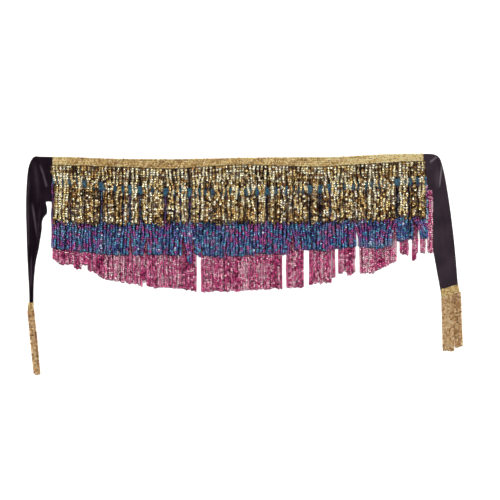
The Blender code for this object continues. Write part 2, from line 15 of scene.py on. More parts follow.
import bpy
import numpy as np
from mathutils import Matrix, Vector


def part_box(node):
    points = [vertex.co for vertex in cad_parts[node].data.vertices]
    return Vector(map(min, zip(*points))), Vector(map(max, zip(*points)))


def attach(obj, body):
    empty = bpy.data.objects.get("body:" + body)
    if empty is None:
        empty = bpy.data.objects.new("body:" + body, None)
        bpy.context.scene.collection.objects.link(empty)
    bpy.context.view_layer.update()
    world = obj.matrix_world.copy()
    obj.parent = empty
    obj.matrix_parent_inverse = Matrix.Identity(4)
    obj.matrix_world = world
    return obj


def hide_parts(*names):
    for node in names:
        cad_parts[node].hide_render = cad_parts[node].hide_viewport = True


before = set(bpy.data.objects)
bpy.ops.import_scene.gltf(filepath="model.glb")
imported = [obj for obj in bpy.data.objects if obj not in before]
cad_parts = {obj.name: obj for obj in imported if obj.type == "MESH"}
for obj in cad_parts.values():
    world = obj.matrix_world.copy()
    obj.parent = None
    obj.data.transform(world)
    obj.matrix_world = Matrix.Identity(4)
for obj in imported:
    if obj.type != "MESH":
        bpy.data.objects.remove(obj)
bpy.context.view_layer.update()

log = logging.getLogger("hip_scarf")

# Short names for types that many lines use
Array = np.ndarray
Rng = np.random.Generator
Tree = bpy.types.NodeTree
Socket = bpy.types.NodeSocket
Material = bpy.types.Material
Piece = bpy.types.Object
Colour = tuple[float, float, float]

MM = 0.001
SEED = 20
FLOOR_GAP = 0.12
SMOOTH_ANGLE = math.radians(60.0)

# Sizes that the layout shares with the solids
CLOTH = 1.2
CLEARANCE = 0.3
BAND_HEIGHT = 21.0
HEADING = 4.0
LOCK_THICK = 2.6
HEADING_THICK = 1.2
THICKENING = 6.0
LOCK_PITCH = 17.0
PANEL_LEFT = -467.0
PANEL_RIGHT = 440.0
TRIM_LEFT = -479.0
GOLD_RIGHT = 450.0
BLUE_RIGHT = 458.0
MAGENTA_RIGHT = 472.0

# Heights that the layers lie at
ON_CLOTH = CLOTH + CLEARANCE
NEAR_FLOOR = 0.5
MAGENTA_TOP = 3.1
OVER_MAGENTA = MAGENTA_TOP + CLEARANCE
OVER_BLUE = ON_CLOTH + LOCK_THICK + CLEARANCE
OVER_BOTH = OVER_MAGENTA + LOCK_THICK + CLEARANCE


class EdgePoint(NamedTuple):
    """One station along the panel: its top edge, and how far below it each line across it lies."""

    x: float
    top: float
    gold_foot: float
    blue_head: float
    panel_foot: float


# Columns: x, top, gold_foot, blue_head, panel_foot
PANEL_EDGES = (
    EdgePoint(-495, 269.5, 19.5, 44.0, 111.0),
    EdgePoint(-447, 268.4, 19.5, 50.0, 117.0),
    EdgePoint(-357, 265.2, 19.5, 59.5, 139.5),
    EdgePoint(-260, 263.3, 21.0, 67.5, 150.0),
    EdgePoint(-185, 263.0, 23.5, 72.0, 156.0),
    EdgePoint(-97, 264.3, 19.0, 74.0, 162.0),
    EdgePoint(-10, 266.6, 16.5, 75.5, 166.0),
    EdgePoint(90, 267.7, 20.0, 73.5, 162.0),
    EdgePoint(190, 268.0, 23.5, 69.0, 156.0),
    EdgePoint(255, 269.6, 21.0, 65.0, 146.0),
    EdgePoint(340, 274.8, 21.0, 63.5, 134.0),
    EdgePoint(440, 276.9, 18.0, 58.5, 116.5),
    EdgePoint(490, 277.1, 17.5, 57.0, 109.0),
)


class Clump(NamedTuple):
    """Strands that hang together: their span at the roots, their span at the tips, and the tips' y."""

    root: float
    root_end: float
    tip: float
    tip_end: float
    tip_y: float
    tip_y_end: float


# Columns of the clumps: root, root_end, tip, tip_end, tip_y, tip_y_end
GOLD_CLUMPS = (
    Clump(-479, -437, -471, -439, 107, 104),
    Clump(-437, -400, -429, -404, 105, 103),
    Clump(-400, -357, -393, -365, 102, 99),
    Clump(-357, -312, -348, -313, 105, 102),
    Clump(-312, -265, -311, -266, 101, 103),
    Clump(-254, -227, -252, -230, 108, 104),
    Clump(-227, -197, -226, -204, 104, 100),
    Clump(-197, -142, -189, -143, 107, 104),
    Clump(-131, -97, -128, -101, 103, 105),
    Clump(-97, -80, -95, -83, 106, 108),
    Clump(-80, -46, -75, -48, 104, 104),
    Clump(-46, -12, -41, -15, 106, 107),
    Clump(-12, 2, -9, 0, 108, 108),
    Clump(2, 78, 9, 75, 106, 105),
    Clump(78, 148, 83, 145, 106, 107),
    Clump(148, 160, 149, 159, 106, 106),
    Clump(160, 190, 172, 184, 105, 105),
    Clump(190, 250, 197, 248, 105, 109),
    Clump(250, 273, 254, 271, 110, 111),
    Clump(273, 320, 277, 317, 111, 112),
    Clump(320, 379, 324, 376, 110, 116),
    Clump(388, 450, 389, 450, 118, 121),
)

BLUE_CLUMPS = (
    Clump(-479, -395, -479, -397, 41, 32),
    Clump(-395, -285, -392, -291, 31, 23),
    Clump(-285, -242, -276, -252, 23, 25),
    Clump(-242, -150, -240, -158, 26, 23),
    Clump(-150, -133, -140, -130, 5, 3),
    Clump(-133, -108, -121, -109, 26, 22),
    Clump(-108, -42, -102, -47, 22, 18),
    Clump(-42, 30, -40, 26, 21, 25),
    Clump(30, 93, 33, 88, 28, 27),
    Clump(93, 122, 92, 113, 27, 26),
    Clump(122, 140, 129, 139, 35, 38),
    Clump(140, 215, 146, 213, 37, 36),
    Clump(215, 280, 217, 279, 39, 44),
    Clump(280, 335, 288, 333, 45, 41),
    Clump(335, 378, 336, 369, 41, 47),
    Clump(378, 408, 385, 402, 60, 61),
    Clump(408, 420, 406, 422, 64, 64),
    Clump(420, 458, 441.5, 459, 64, 66),
)

MAGENTA_CLUMPS = (
    Clump(-479, -460, -478, -459, 15, 1),
    Clump(-460, -427, -457, -426, 1, 1),
    Clump(-427, -409, -424, -407, -12, -13),
    Clump(-409, -390, -406, -391, 0, 0),
    Clump(-390, -345, -390, -345, -13, -37),
    Clump(-345, -255, -345, -255, -38, -52),
    Clump(-255, -238, -255, -239, -41, -52),
    Clump(-238, -210, -239, -212, -56, -58),
    Clump(-210, -150, -211, -150, -57, -60),
    Clump(-150, -117, -150, -119, -62, -67),
    Clump(-117, 0, -106, 0, -68, -65),
    Clump(0, 98, 0, 95, -65, -59),
    Clump(98, 153, 107, 149, -58, -55),
    Clump(153, 218, 164, 218, -50, -44),
    Clump(218, 230, 221.5, 227.5, -33, -32),
    Clump(230, 262, 237, 258, -22, -17),
    Clump(262, 283, 259, 278, -28, -20),
    Clump(283, 325, 290.5, 324, -21, -20),
    Clump(325, 387, 324, 381, -18, 9),
    Clump(387, 410, 391, 411, 28, 24),
    Clump(410, 427, 422, 430, 12, 12),
    Clump(427, 438, 430, 434.5, 27, 28),
    Clump(438, 457, 442, 453, 32, 28),
    Clump(457, 472, 460.5, 471.5, 32, 31),
)

LEFT_TIE_CLUMPS = (
    Clump(-541.0, -524.0, -526.0, -508.5, -273.0, -277.0),
)

RIGHT_TIE_CLUMPS = (
    Clump(495.5, 522.0, 499.0, 525.0, -214.0, -215.0),
    Clump(522.0, 541.5, 530.0, 546.0, -208.0, -203.0),
)


class Section(NamedTuple):
    """A line across a tie from its outer edge to its inner one, and how far its folds are filled."""

    outer_x: float
    outer_y: float
    inner_x: float
    inner_y: float
    filled: float = 0.0


# Columns of the sections: outer_x, outer_y, inner_x, inner_y
LEFT_TIE_SECTIONS = (
    Section(-467.3, 268.9, -467.3, 153.0),
    Section(-490.0, 269.6, -484.0, 157.0),
    Section(-510.0, 270.1, -494.0, 157.0),
    Section(-524.0, 269.9, -495.0, 153.5),
    Section(-533.5, 258.4, -492.5, 139.7),
    Section(-539.8, 238.4, -493.3, 127.2),
    Section(-543.0, 207.1, -500.3, 118.4),
    Section(-544.5, 173.4, -504.8, 107.2, filled=0.1),
    Section(-545.0, 135.9, -505.8, 88.4, filled=0.2),
    Section(-544.0, 95.9, -508.8, 68.4, filled=0.35),
    Section(-542.8, 53.4, -513.3, 40.9, filled=0.5),
    Section(-541.0, 10.9, -520.8, 5.9, filled=0.7),
    Section(-539.3, -29.1, -524.8, -31.6, filled=0.9),
    Section(-537.3, -64.1, -526.3, -64.1, filled=1.0),
    Section(-536.5, -95.3, -526.5, -95.3, filled=1.0),
)

RIGHT_TIE_SECTIONS = (
    Section(440.3, 276.9, 440.3, 160.4),
    Section(462.8, 277.1, 443.0, 158.4),
    Section(478.8, 274.7, 445.3, 155.9),
    Section(489.8, 266.8, 447.8, 150.9),
    Section(496.6, 248.8, 450.8, 140.9),
    Section(503.8, 218.4, 455.3, 120.9),
    Section(509.8, 183.4, 460.3, 95.9),
    Section(516.5, 138.4, 466.5, 65.9),
    Section(522.3, 93.4, 472.8, 38.4),
    Section(527.8, 43.4, 478.5, 8.4),
    Section(531.8, -1.6, 484.8, -26.6),
    Section(535.8, -49.1, 491.8, -63.1),
    Section(540.5, -70.4, 495.0, -83.1),
)


class Crease(NamedTuple):
    """A soft ridge on a tie: its line, its height, its half width, and if it runs on to the tie's end."""

    line: tuple
    rise: float
    half_width: float
    runs_on: bool = False


LEFT_TIE_CREASES = (
    Crease(line=((-524, 261), (-501, 231), (-492, 196)), rise=4.0, half_width=5.0),
    Crease(line=((-527, 223), (-525, 146), (-518, 91), (-512, 56)), rise=5.0, half_width=5.0),
    Crease(
        line=((-537, 241), (-540, 161), (-539, 96), (-538, 23), (-535, -34), (-534, -96)),
        rise=4.0,
        half_width=4.5,
        runs_on=True,
    ),
    Crease(
        line=((-507, 186), (-509, 126), (-513, 81), (-518, 46), (-525, 1), (-529, -96)),
        rise=4.5,
        half_width=4.5,
        runs_on=True,
    ),
)

RIGHT_TIE_CREASES = (
    Crease(line=((487, 262), (491, 241), (493, 186)), rise=3.0, half_width=4.5),
    Crease(line=((490, 148), (497, 96), (504, 16)), rise=2.0, half_width=7.0),
)

# The gathered band on the left tie's end
BUNCH_TOP = -95.6
BUNCH_FOOT = -112.0
BUNCH_ENDS = ((-538.6, -526.4), (-539.6, -526.2))
BUNCH_HEIGHT = 5.6
BUNCH_EDGE = 2.4

# Small folds that only the finished cloth shows
LEFT_FINE_CREASES = (
    Crease(line=((-531, 232), (-533, 190), (-531, 140), (-528, 100)), rise=0.9, half_width=2.6),
    Crease(line=((-517, 246), (-512, 214), (-514, 170)), rise=0.8, half_width=3.0),
    Crease(line=((-500, 250), (-488, 236), (-480, 200)), rise=0.5, half_width=4.0),
    Crease(line=((-520, 120), (-524, 60), (-529, 0), (-531, -60)), rise=0.8, half_width=1.8),
    Crease(line=((-512, 100), (-517, 60), (-523, 20)), rise=0.7, half_width=2.0),
)

RIGHT_FINE_CREASES = (
    Crease(line=((466, 270), (478, 262), (486, 246)), rise=0.6, half_width=2.6),
    Crease(line=((472, 250), (484, 226), (488, 190)), rise=0.35, half_width=4.0),
    Crease(line=((500, 190), (508, 130), (514, 70)), rise=0.3, half_width=5.0),
    Crease(line=((486, 60), (494, 10), (502, -40)), rise=0.3, half_width=5.0),
)


class Streak(NamedTuple):
    """A painted highlight along a line, where a crease would catch the light: its points, its half width and
    how bright it is.
    """

    line: tuple
    half_width: float
    strength: float


# Painted highlights on the ties' colour, along the folds that catch the light
LEFT_STREAKS = (
    Streak(line=((-512, 256), (-502, 227), (-495, 202), (-493, 191)), half_width=2.6, strength=0.9),
    Streak(line=((-530, 157), (-526, 133), (-522, 106), (-515, 57)), half_width=2.6, strength=0.9),
    Streak(line=((-528, 262), (-521, 240), (-517, 205), (-517, 150)), half_width=6.0, strength=0.22),
    Streak(line=((-537, 235), (-540, 170), (-539, 90), (-537, 20)), half_width=2.4, strength=0.35),
    Streak(line=((-510, 150), (-513, 100), (-518, 50)), half_width=3.0, strength=0.2),
    Streak(line=((-531, 30), (-532, -20), (-532, -70)), half_width=2.0, strength=0.4),
)

RIGHT_STREAKS = (
    Streak(line=((495, 256), (494, 235), (491, 212), (489, 188)), half_width=1.9, strength=1.0),
    Streak(line=((484, 270), (476, 264), (464, 254)), half_width=2.0, strength=1.0),
    Streak(line=((483, 250), (484, 215), (481, 180)), half_width=5.0, strength=0.15),
    Streak(
        line=((497, 254), (508, 196), (517, 143), (527, 97), (532, 59), (535, 0)),
        half_width=1.6,
        strength=0.5,
    ),
)


class Level(NamedTuple):
    """A place down a row of fringe and the heights that its strings lie between there."""

    y: float
    low: float
    high: float


def mix(a: float, b: float, t: float) -> float:
    """The value a share t of the way from a to b."""
    return a + (b - a) * t


def ease(t: Array | float) -> Array | float:
    """0 to 1 with a soft start and a soft end."""
    t = np.clip(t, 0.0, 1.0)
    return t * t * (3 - 2 * t)


def smooth(at: Array | float, places: Sequence[float], values: Sequence[float]) -> Array:
    """A smooth curve through a table's points.

    Args:
        at: where the curve is read, one place or many.
        places: the table's places, rising.
        values: the table's values there.

    Returns:
        The curve's values at those places.
    """
    places = np.asarray(places, float)
    values = np.asarray(values, float)
    slopes = np.gradient(values, places)
    at = np.clip(at, places[0], places[-1])
    i = np.clip(np.searchsorted(places, at, side="right") - 1, 0, len(places) - 2)
    span = places[i + 1] - places[i]
    t = (at - places[i]) / span
    start = (1 + 2 * t) * (1 - t) ** 2 * values[i] + t * (1 - t) ** 2 * span * slopes[i]
    end = t * t * (3 - 2 * t) * values[i + 1] + t * t * (t - 1) * span * slopes[i + 1]
    return start + end


def edge(x: Array | float, column: str) -> Array:
    """A column of the panel's table at x."""
    return smooth(x, [p.x for p in PANEL_EDGES], [getattr(p, column) for p in PANEL_EDGES])


def top_edge(x: Array | float) -> Array:
    """The panel's top edge."""
    return edge(x, "top")


def gold_foot(x: Array | float) -> Array:
    """The line that the gold row hangs from."""
    return top_edge(x) - edge(x, "gold_foot")


def blue_head(x: Array | float) -> Array:
    """The upper edge of the blue tape."""
    return top_edge(x) - edge(x, "blue_head")


def blue_foot(x: Array | float) -> Array:
    """The line that the blue row hangs from."""
    return blue_head(x) - BAND_HEIGHT


def panel_foot(x: Array | float) -> Array:
    """The panel's lower edge, which the magenta row hangs from."""
    return top_edge(x) - edge(x, "panel_foot")


def magenta_head(x: Array | float) -> Array:
    """The upper edge of the magenta tape."""
    return panel_foot(x) + BAND_HEIGHT


def left_end_line(x: Array | float) -> Array:
    """The line that the left tie's fringe hangs from."""
    return np.full(np.shape(x), BUNCH_FOOT - CLEARANCE - HEADING)


def right_end_line(x: Array | float) -> Array:
    """The line that the right tie's fringe hangs from, which is the end of its cloth."""
    end = RIGHT_TIE_SECTIONS[-1]
    return mix(end.inner_y, end.outer_y, (x - end.inner_x) / (end.outer_x - end.inner_x))


def gold_levels(x: float) -> tuple[Level, ...]:
    """The gold strings lie on the cloth, climb over the blue tape, and climb again where blue does.

    Args:
        x: where along the row the heights are read.

    Returns:
        The row's levels there, from the tape down.
    """
    return (
        Level(gold_foot(x), ON_CLOTH, ON_CLOTH + HEADING_THICK),
        Level(gold_foot(x) - THICKENING, ON_CLOTH, ON_CLOTH + LOCK_THICK),
        Level(blue_head(x) + 10, ON_CLOTH, ON_CLOTH + LOCK_THICK),
        Level(blue_head(x) + 3, OVER_BLUE, OVER_BLUE + LOCK_THICK),
        Level(magenta_head(x) + 20, OVER_BLUE, OVER_BLUE + LOCK_THICK),
        Level(magenta_head(x) + 13, OVER_BOTH, OVER_BOTH + LOCK_THICK),
    )


def blue_levels(x: float) -> tuple[Level, ...]:
    """The blue strings lie on the cloth and climb over the magenta tape.

    Args:
        x: where along the row the heights are read.

    Returns:
        The row's levels there, from the tape down.
    """
    return (
        Level(blue_foot(x), ON_CLOTH, ON_CLOTH + HEADING_THICK),
        Level(blue_foot(x) - 2, ON_CLOTH, ON_CLOTH + LOCK_THICK),
        Level(magenta_head(x) + 10, ON_CLOTH, ON_CLOTH + LOCK_THICK),
        Level(magenta_head(x) + 3, OVER_MAGENTA, OVER_MAGENTA + LOCK_THICK),
    )


def magenta_levels(x: float) -> tuple[Level, ...]:
    """The magenta strings sink to the floor past the panel's edge, but for those on the right tie.

    Args:
        x: where along the row the heights are read.

    Returns:
        The row's levels there, from the tape down.
    """
    foot = panel_foot(x)
    low = NEAR_FLOOR if x < PANEL_RIGHT - LOCK_PITCH else ON_CLOTH
    return (
        Level(foot, ON_CLOTH, ON_CLOTH + HEADING_THICK),
        Level(foot - THICKENING, ON_CLOTH, MAGENTA_TOP),
        Level(foot - 2 * THICKENING, low, MAGENTA_TOP),
    )


def left_end_levels(x: float) -> tuple[Level, ...]:
    """The left tie's strings are bunched, so they are as deep as its tape.

    Args:
        x: where along the row the heights are read.

    Returns:
        The row's levels there, from the tape down.
    """
    line = float(left_end_line(x))
    return (
        Level(line, NEAR_FLOOR, BUNCH_HEIGHT - 1.0),
        Level(line - 2 * THICKENING, NEAR_FLOOR, BUNCH_HEIGHT),
    )


def right_end_levels(x: float) -> tuple[Level, ...]:
    """The right tie's strings leave its cloth and sink to the floor.

    Args:
        x: where along the row the heights are read.

    Returns:
        The row's levels there, from the tape down.
    """
    line = right_end_line(x)
    return (
        Level(line, ON_CLOTH, ON_CLOTH + HEADING_THICK),
        Level(line - 2 * THICKENING, NEAR_FLOOR, MAGENTA_TOP),
    )


def frame_shift() -> Array:
    """How far the frame's panel lies from the layout's, in metres: its left end and its top right corner."""
    low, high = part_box("panel")
    return np.array((low[0] - PANEL_LEFT * MM, high[1] - float(top_edge(PANEL_RIGHT)) * MM, 0.0))


# Materials: node helpers and the effects that several finishes share


def add_node(tree: Tree, kind: str, **values: object) -> bpy.types.Node:
    """Adds a node and sets its properties.

    Args:
        tree: the tree that it goes into.
        kind: the node's type name.
        values: properties to set by name.

    Returns:
        The new node.
    """
    node = tree.nodes.new(kind)
    for name, value in values.items():
        setattr(node, name, value)
    return node


def feed(tree: Tree, value: object, socket: Socket) -> None:
    """Links an output to a socket, or sets the socket to a plain value.

    Args:
        tree: the tree that the socket is in.
        value: an output, or a plain value.
        socket: the socket that takes it.
    """
    if isinstance(value, Socket):
        tree.links.new(value, socket)
    else:
        socket.default_value = value


def set_sockets(node: bpy.types.Node, values: dict[str, object]) -> None:
    """Sets a node's sockets to plain values by name."""
    for name, value in values.items():
        node.inputs[name].default_value = value


def object_place(tree: Tree) -> Socket:
    """The Object coordinates."""
    return add_node(tree, "ShaderNodeTexCoord").outputs["Object"]


def calc(tree: Tree, operation: str, *inputs: object) -> Socket:
    """A Math node over plain values or outputs, and its output.

    Args:
        tree: the tree that the node goes into.
        operation: what it works out.
        inputs: plain values or outputs, in the order of its sockets.

    Returns:
        The result's output.
    """
    node = add_node(tree, "ShaderNodeMath", operation=operation)
    for value, socket in zip(inputs, node.inputs):
        feed(tree, value, socket)
    return node.outputs[0]


def blend_colour(tree: Tree, share: object, first: object, second: object, how: str = "MIX") -> Socket:
    """A colour Mix node.

    Args:
        tree: the tree that it goes into.
        share: the factor.
        first: the colour at 0.
        second: the colour at 1.
        how: the blend type.

    Returns:
        The mixed colour's output.
    """
    node = add_node(tree, "ShaderNodeMix", data_type="RGBA", blend_type=how)
    sockets = {socket.identifier: socket for socket in node.inputs}
    feed(tree, share, sockets["Factor_Float"])
    feed(tree, first, sockets["A_Color"])
    feed(tree, second, sockets["B_Color"])
    return next(socket for socket in node.outputs if socket.identifier == "Result_Color")


def spread(tree: Tree, value: object, low: float, high: float, to_low: float, to_high: float) -> Socket:
    """Maps a value from one range to another, clamped.

    Args:
        tree: the tree that the node goes into.
        value: the output to map.
        low: the value that becomes to_low.
        high: the value that becomes to_high.
        to_low: the result's start.
        to_high: the result's end.

    Returns:
        The mapped value's output.
    """
    node = add_node(tree, "ShaderNodeMapRange")
    feed(tree, value, node.inputs["Value"])
    for socket, number in zip(node.inputs[1:5], (low, high, to_low, to_high)):
        socket.default_value = number
    return node.outputs["Result"]


def noise(tree: Tree, place: Socket, scale: object, **values: float) -> Socket:
    """A Noise Texture.

    Args:
        tree: the tree that the node goes into.
        place: the coordinates that it reads.
        scale: its scale, a number or an output.
        values: its other sockets by name, such as Detail.

    Returns:
        The noise's value.
    """
    node = add_node(tree, "ShaderNodeTexNoise")
    feed(tree, place, node.inputs["Vector"])
    feed(tree, scale, node.inputs["Scale"])
    set_sockets(node, values)
    return node.outputs["Fac"]


def bands(tree: Tree, place: Socket, scale: object, distortion: float = 0.0) -> list[Socket]:
    """Two Wave Textures, whose bands run across X and across Y.

    Args:
        tree: the tree that the nodes go into.
        place: the coordinates that they read.
        scale: their scale, a number or an output.
        distortion: how far the bands waver.

    Returns:
        The two waves' values.
    """
    waves = [
        add_node(tree, "ShaderNodeTexWave", wave_type="BANDS", bands_direction=way) for way in ("X", "Y")
    ]
    for wave in waves:
        feed(tree, place, wave.inputs["Vector"])
        feed(tree, scale, wave.inputs["Scale"])
        set_sockets(wave, {"Distortion": distortion})
    return [wave.outputs["Fac"] for wave in waves]


def add_bump(tree: Tree, shader: bpy.types.Node, height: object, strength: float, distance: float) -> None:
    """Gives a shader a bump.

    Args:
        tree: the material's tree.
        shader: its Principled shader.
        height: the height's output.
        strength: the bump's strength.
        distance: how deep it is, in metres.
    """
    bump = add_node(tree, "ShaderNodeBump")
    set_sockets(bump, {"Strength": strength, "Distance": distance})
    feed(tree, height, bump.inputs["Height"])
    feed(tree, bump.outputs["Normal"], shader.inputs["Normal"])


class EffectGroup:
    """A shader node group that more than one finish uses, built once."""

    def __init__(self, name: str, inputs: dict[str, float], outputs: dict[str, str]) -> None:
        """Makes the empty group.

        Args:
            name: the group's name.
            inputs: its float sockets and their defaults.
            outputs: its output sockets and their types.
        """
        self.tree = bpy.data.node_groups.new(name, "ShaderNodeTree")
        for label, default in inputs.items():
            socket = self.tree.interface.new_socket(label, in_out="INPUT", socket_type="NodeSocketFloat")
            socket.default_value = default
        for label, kind in outputs.items():
            self.tree.interface.new_socket(label, in_out="OUTPUT", socket_type=kind)
        self.inside = self.tree.nodes.new("NodeGroupInput").outputs
        self.result = self.tree.nodes.new("NodeGroupOutput").inputs

    def place(self, tree: Tree, **values: float) -> bpy.types.NodeOutputs:
        """Puts the group into a material.

        Args:
            tree: the material's tree.
            values: its inputs, with underscores for spaces.

        Returns:
            The group node's outputs.
        """
        node = add_node(tree, "ShaderNodeGroup", node_tree=self.tree)
        for label, value in values.items():
            feed(tree, value, node.inputs[label.replace("_", " ")])
        return node.outputs


def knit_group() -> EffectGroup:
    """Fine stretch knit with a nap: ribs of loops, brushed patches and stray lint.

    Returns:
        The group, which gives a Tone, a Lint mask and a Height.
    """
    outputs = {"Tone": "NodeSocketFloat", "Lint": "NodeSocketFloat", "Height": "NodeSocketFloat"}
    group = EffectGroup("stretch_knit", {"Rib": 900.0, "Patch": 22.0, "Lint Scale": 260.0}, outputs)
    tree, inside = group.tree, group.inside
    place = object_place(tree)
    loops = calc(tree, "MULTIPLY", *bands(tree, place, inside["Rib"], distortion=1.2))
    patch = noise(tree, place, inside["Patch"], Detail=5.0)
    lint = noise(tree, place, inside["Lint Scale"], Detail=2.0)
    feed(tree, spread(tree, patch, 0.32, 0.68, 0.0, 1.0), group.result["Tone"])
    feed(tree, spread(tree, lint, 0.68, 0.78, 0.0, 1.0), group.result["Lint"])
    feed(tree, calc(tree, "ADD", loops, lint), group.result["Height"])
    return group


def handling_group() -> EffectGroup:
    """What handling leaves on sequins and tape: rubbed patches and fine scratches.

    Returns:
        The group, which gives a Rub mask and a Scratch value.
    """
    outputs = {"Rub": "NodeSocketFloat", "Scratch": "NodeSocketFloat"}
    group = EffectGroup("handling", {"Patch": 30.0, "Fine": 2200.0}, outputs)
    tree, inside = group.tree, group.inside
    place = object_place(tree)
    patch = noise(tree, place, inside["Patch"], Detail=4.0)
    feed(tree, spread(tree, patch, 0.5, 0.72, 0.0, 1.0), group.result["Rub"])
    feed(tree, noise(tree, place, inside["Fine"], Distortion=1.5), group.result["Scratch"])
    return group


def tape_weave_group() -> EffectGroup:
    """Plain weave of a narrow tape.

    Returns:
        The group, which gives a Thread value that is also its height.
    """
    group = EffectGroup("tape_weave", {"Threads": 700.0}, {"Thread": "NodeSocketFloat"})
    tree, inside = group.tree, group.inside
    threads = bands(tree, object_place(tree), inside["Threads"])
    feed(tree, calc(tree, "MAXIMUM", *threads), group.result["Thread"])
    return group


class Effects:
    """The shared effects of this scarf's finishes."""

    def __init__(self) -> None:
        """Builds each group once."""
        self.knit = knit_group()
        self.handling = handling_group()
        self.weave = tape_weave_group()


def shader_of(name: str) -> tuple[Material, Tree, bpy.types.Node]:
    """A new material with its tree and its Principled shader.

    Args:
        name: the material's name.

    Returns:
        The material, its tree and its shader.
    """
    material = bpy.data.materials.new(name)
    material.use_nodes = True
    tree = material.node_tree
    return material, tree, tree.nodes["Principled BSDF"]


@dataclass(frozen=True)
class StretchCloth:
    """Black stretch cloth with a satin side, and a painted highlight in its colour along the streaks of its
    folds.
    """

    name: str
    deep: Colour
    brushed: Colour
    painted_highlight: Colour
    sheen: float
    gloss: float
    roughness: float

    def material(self, effects: Effects) -> Material:
        """Makes the cloth's material from the shared effects.

        Args:
            effects: the shared effects.

        Returns:
            The material.
        """
        material, tree, shader = shader_of(self.name)
        knit = effects.knit.place(tree)
        colour = blend_colour(tree, knit["Tone"], (*self.deep, 1.0), (*self.brushed, 1.0))
        lint = blend_colour(tree, calc(tree, "MULTIPLY", knit["Lint"], 0.25), colour, (0.08, 0.06, 0.08, 1.0))
        # Painted highlight: the colour turns lighter along the tie's streaks
        painted_highlight_share = add_node(tree, "ShaderNodeAttribute", attribute_name="painted_highlight_share").outputs["Fac"]
        turned = calc(tree, "MULTIPLY", painted_highlight_share, spread(tree, knit["Tone"], 0.0, 1.0, 0.5, 1.0))
        feed(tree, blend_colour(tree, turned, lint, (*self.painted_highlight, 1.0)), shader.inputs["Base Color"])
        rough = spread(tree, knit["Tone"], 0.0, 1.0, self.roughness + 0.06, self.roughness - 0.06)
        feed(tree, rough, shader.inputs["Roughness"])
        add_bump(tree, shader, knit["Height"], strength=0.25, distance=0.0003)
        plain = {"Sheen Weight": self.sheen, "Sheen Roughness": 0.4, "Specular IOR Level": self.gloss}
        set_sockets(shader, {**plain, "Sheen Tint": (0.8, 0.6, 0.82, 1.0)})
        return material


class Shade(NamedTuple):
    """One shade of a ramp of sequin tones, and where its share of the ramp starts."""

    start: float
    colour: Colour


class ToneAndPaintedLightRamp(Enum):
    """Ramps of sequin tones that differ at random, whose dark and pale ends also paint glints and shade."""

    GOLD = (
        Shade(0.0, (0.04, 0.014, 0.004)),
        Shade(0.2, (0.22, 0.09, 0.03)),
        Shade(0.38, (0.58, 0.34, 0.11)),
        Shade(0.6, (0.88, 0.69, 0.3)),
        Shade(1.0, (1.0, 0.97, 0.74)),
    )
    BAND_GOLD = (
        Shade(0.0, (0.3, 0.15, 0.05)),
        Shade(0.35, (0.55, 0.34, 0.13)),
        Shade(0.7, (0.85, 0.62, 0.25)),
        Shade(1.0, (1.0, 0.88, 0.5)),
    )
    END_GOLD = (
        Shade(0.0, (0.36, 0.17, 0.07)),
        Shade(0.45, (0.72, 0.43, 0.2)),
        Shade(1.0, (1.0, 0.78, 0.46)),
    )
    BLUE = (
        Shade(0.0, (0.02, 0.012, 0.08)),
        Shade(0.14, (0.04, 0.04, 0.24)),
        Shade(0.3, (0.05, 0.17, 0.42)),
        Shade(0.44, (0.09, 0.36, 0.53)),
        Shade(0.56, (0.17, 0.17, 0.46)),
        Shade(0.72, (0.2, 0.06, 0.32)),
        Shade(0.88, (0.4, 0.05, 0.27)),
        Shade(1.0, (0.46, 0.09, 0.3)),
    )
    BAND_TEAL = (
        Shade(0.0, (0.03, 0.1, 0.22)),
        Shade(0.5, (0.05, 0.2, 0.36)),
        Shade(1.0, (0.1, 0.4, 0.46)),
    )
    MAGENTA = (
        Shade(0.0, (0.14, 0.004, 0.05)),
        Shade(0.3, (0.56, 0.045, 0.2)),
        Shade(0.6, (0.9, 0.17, 0.43)),
        Shade(1.0, (1.0, 0.62, 0.74)),
    )


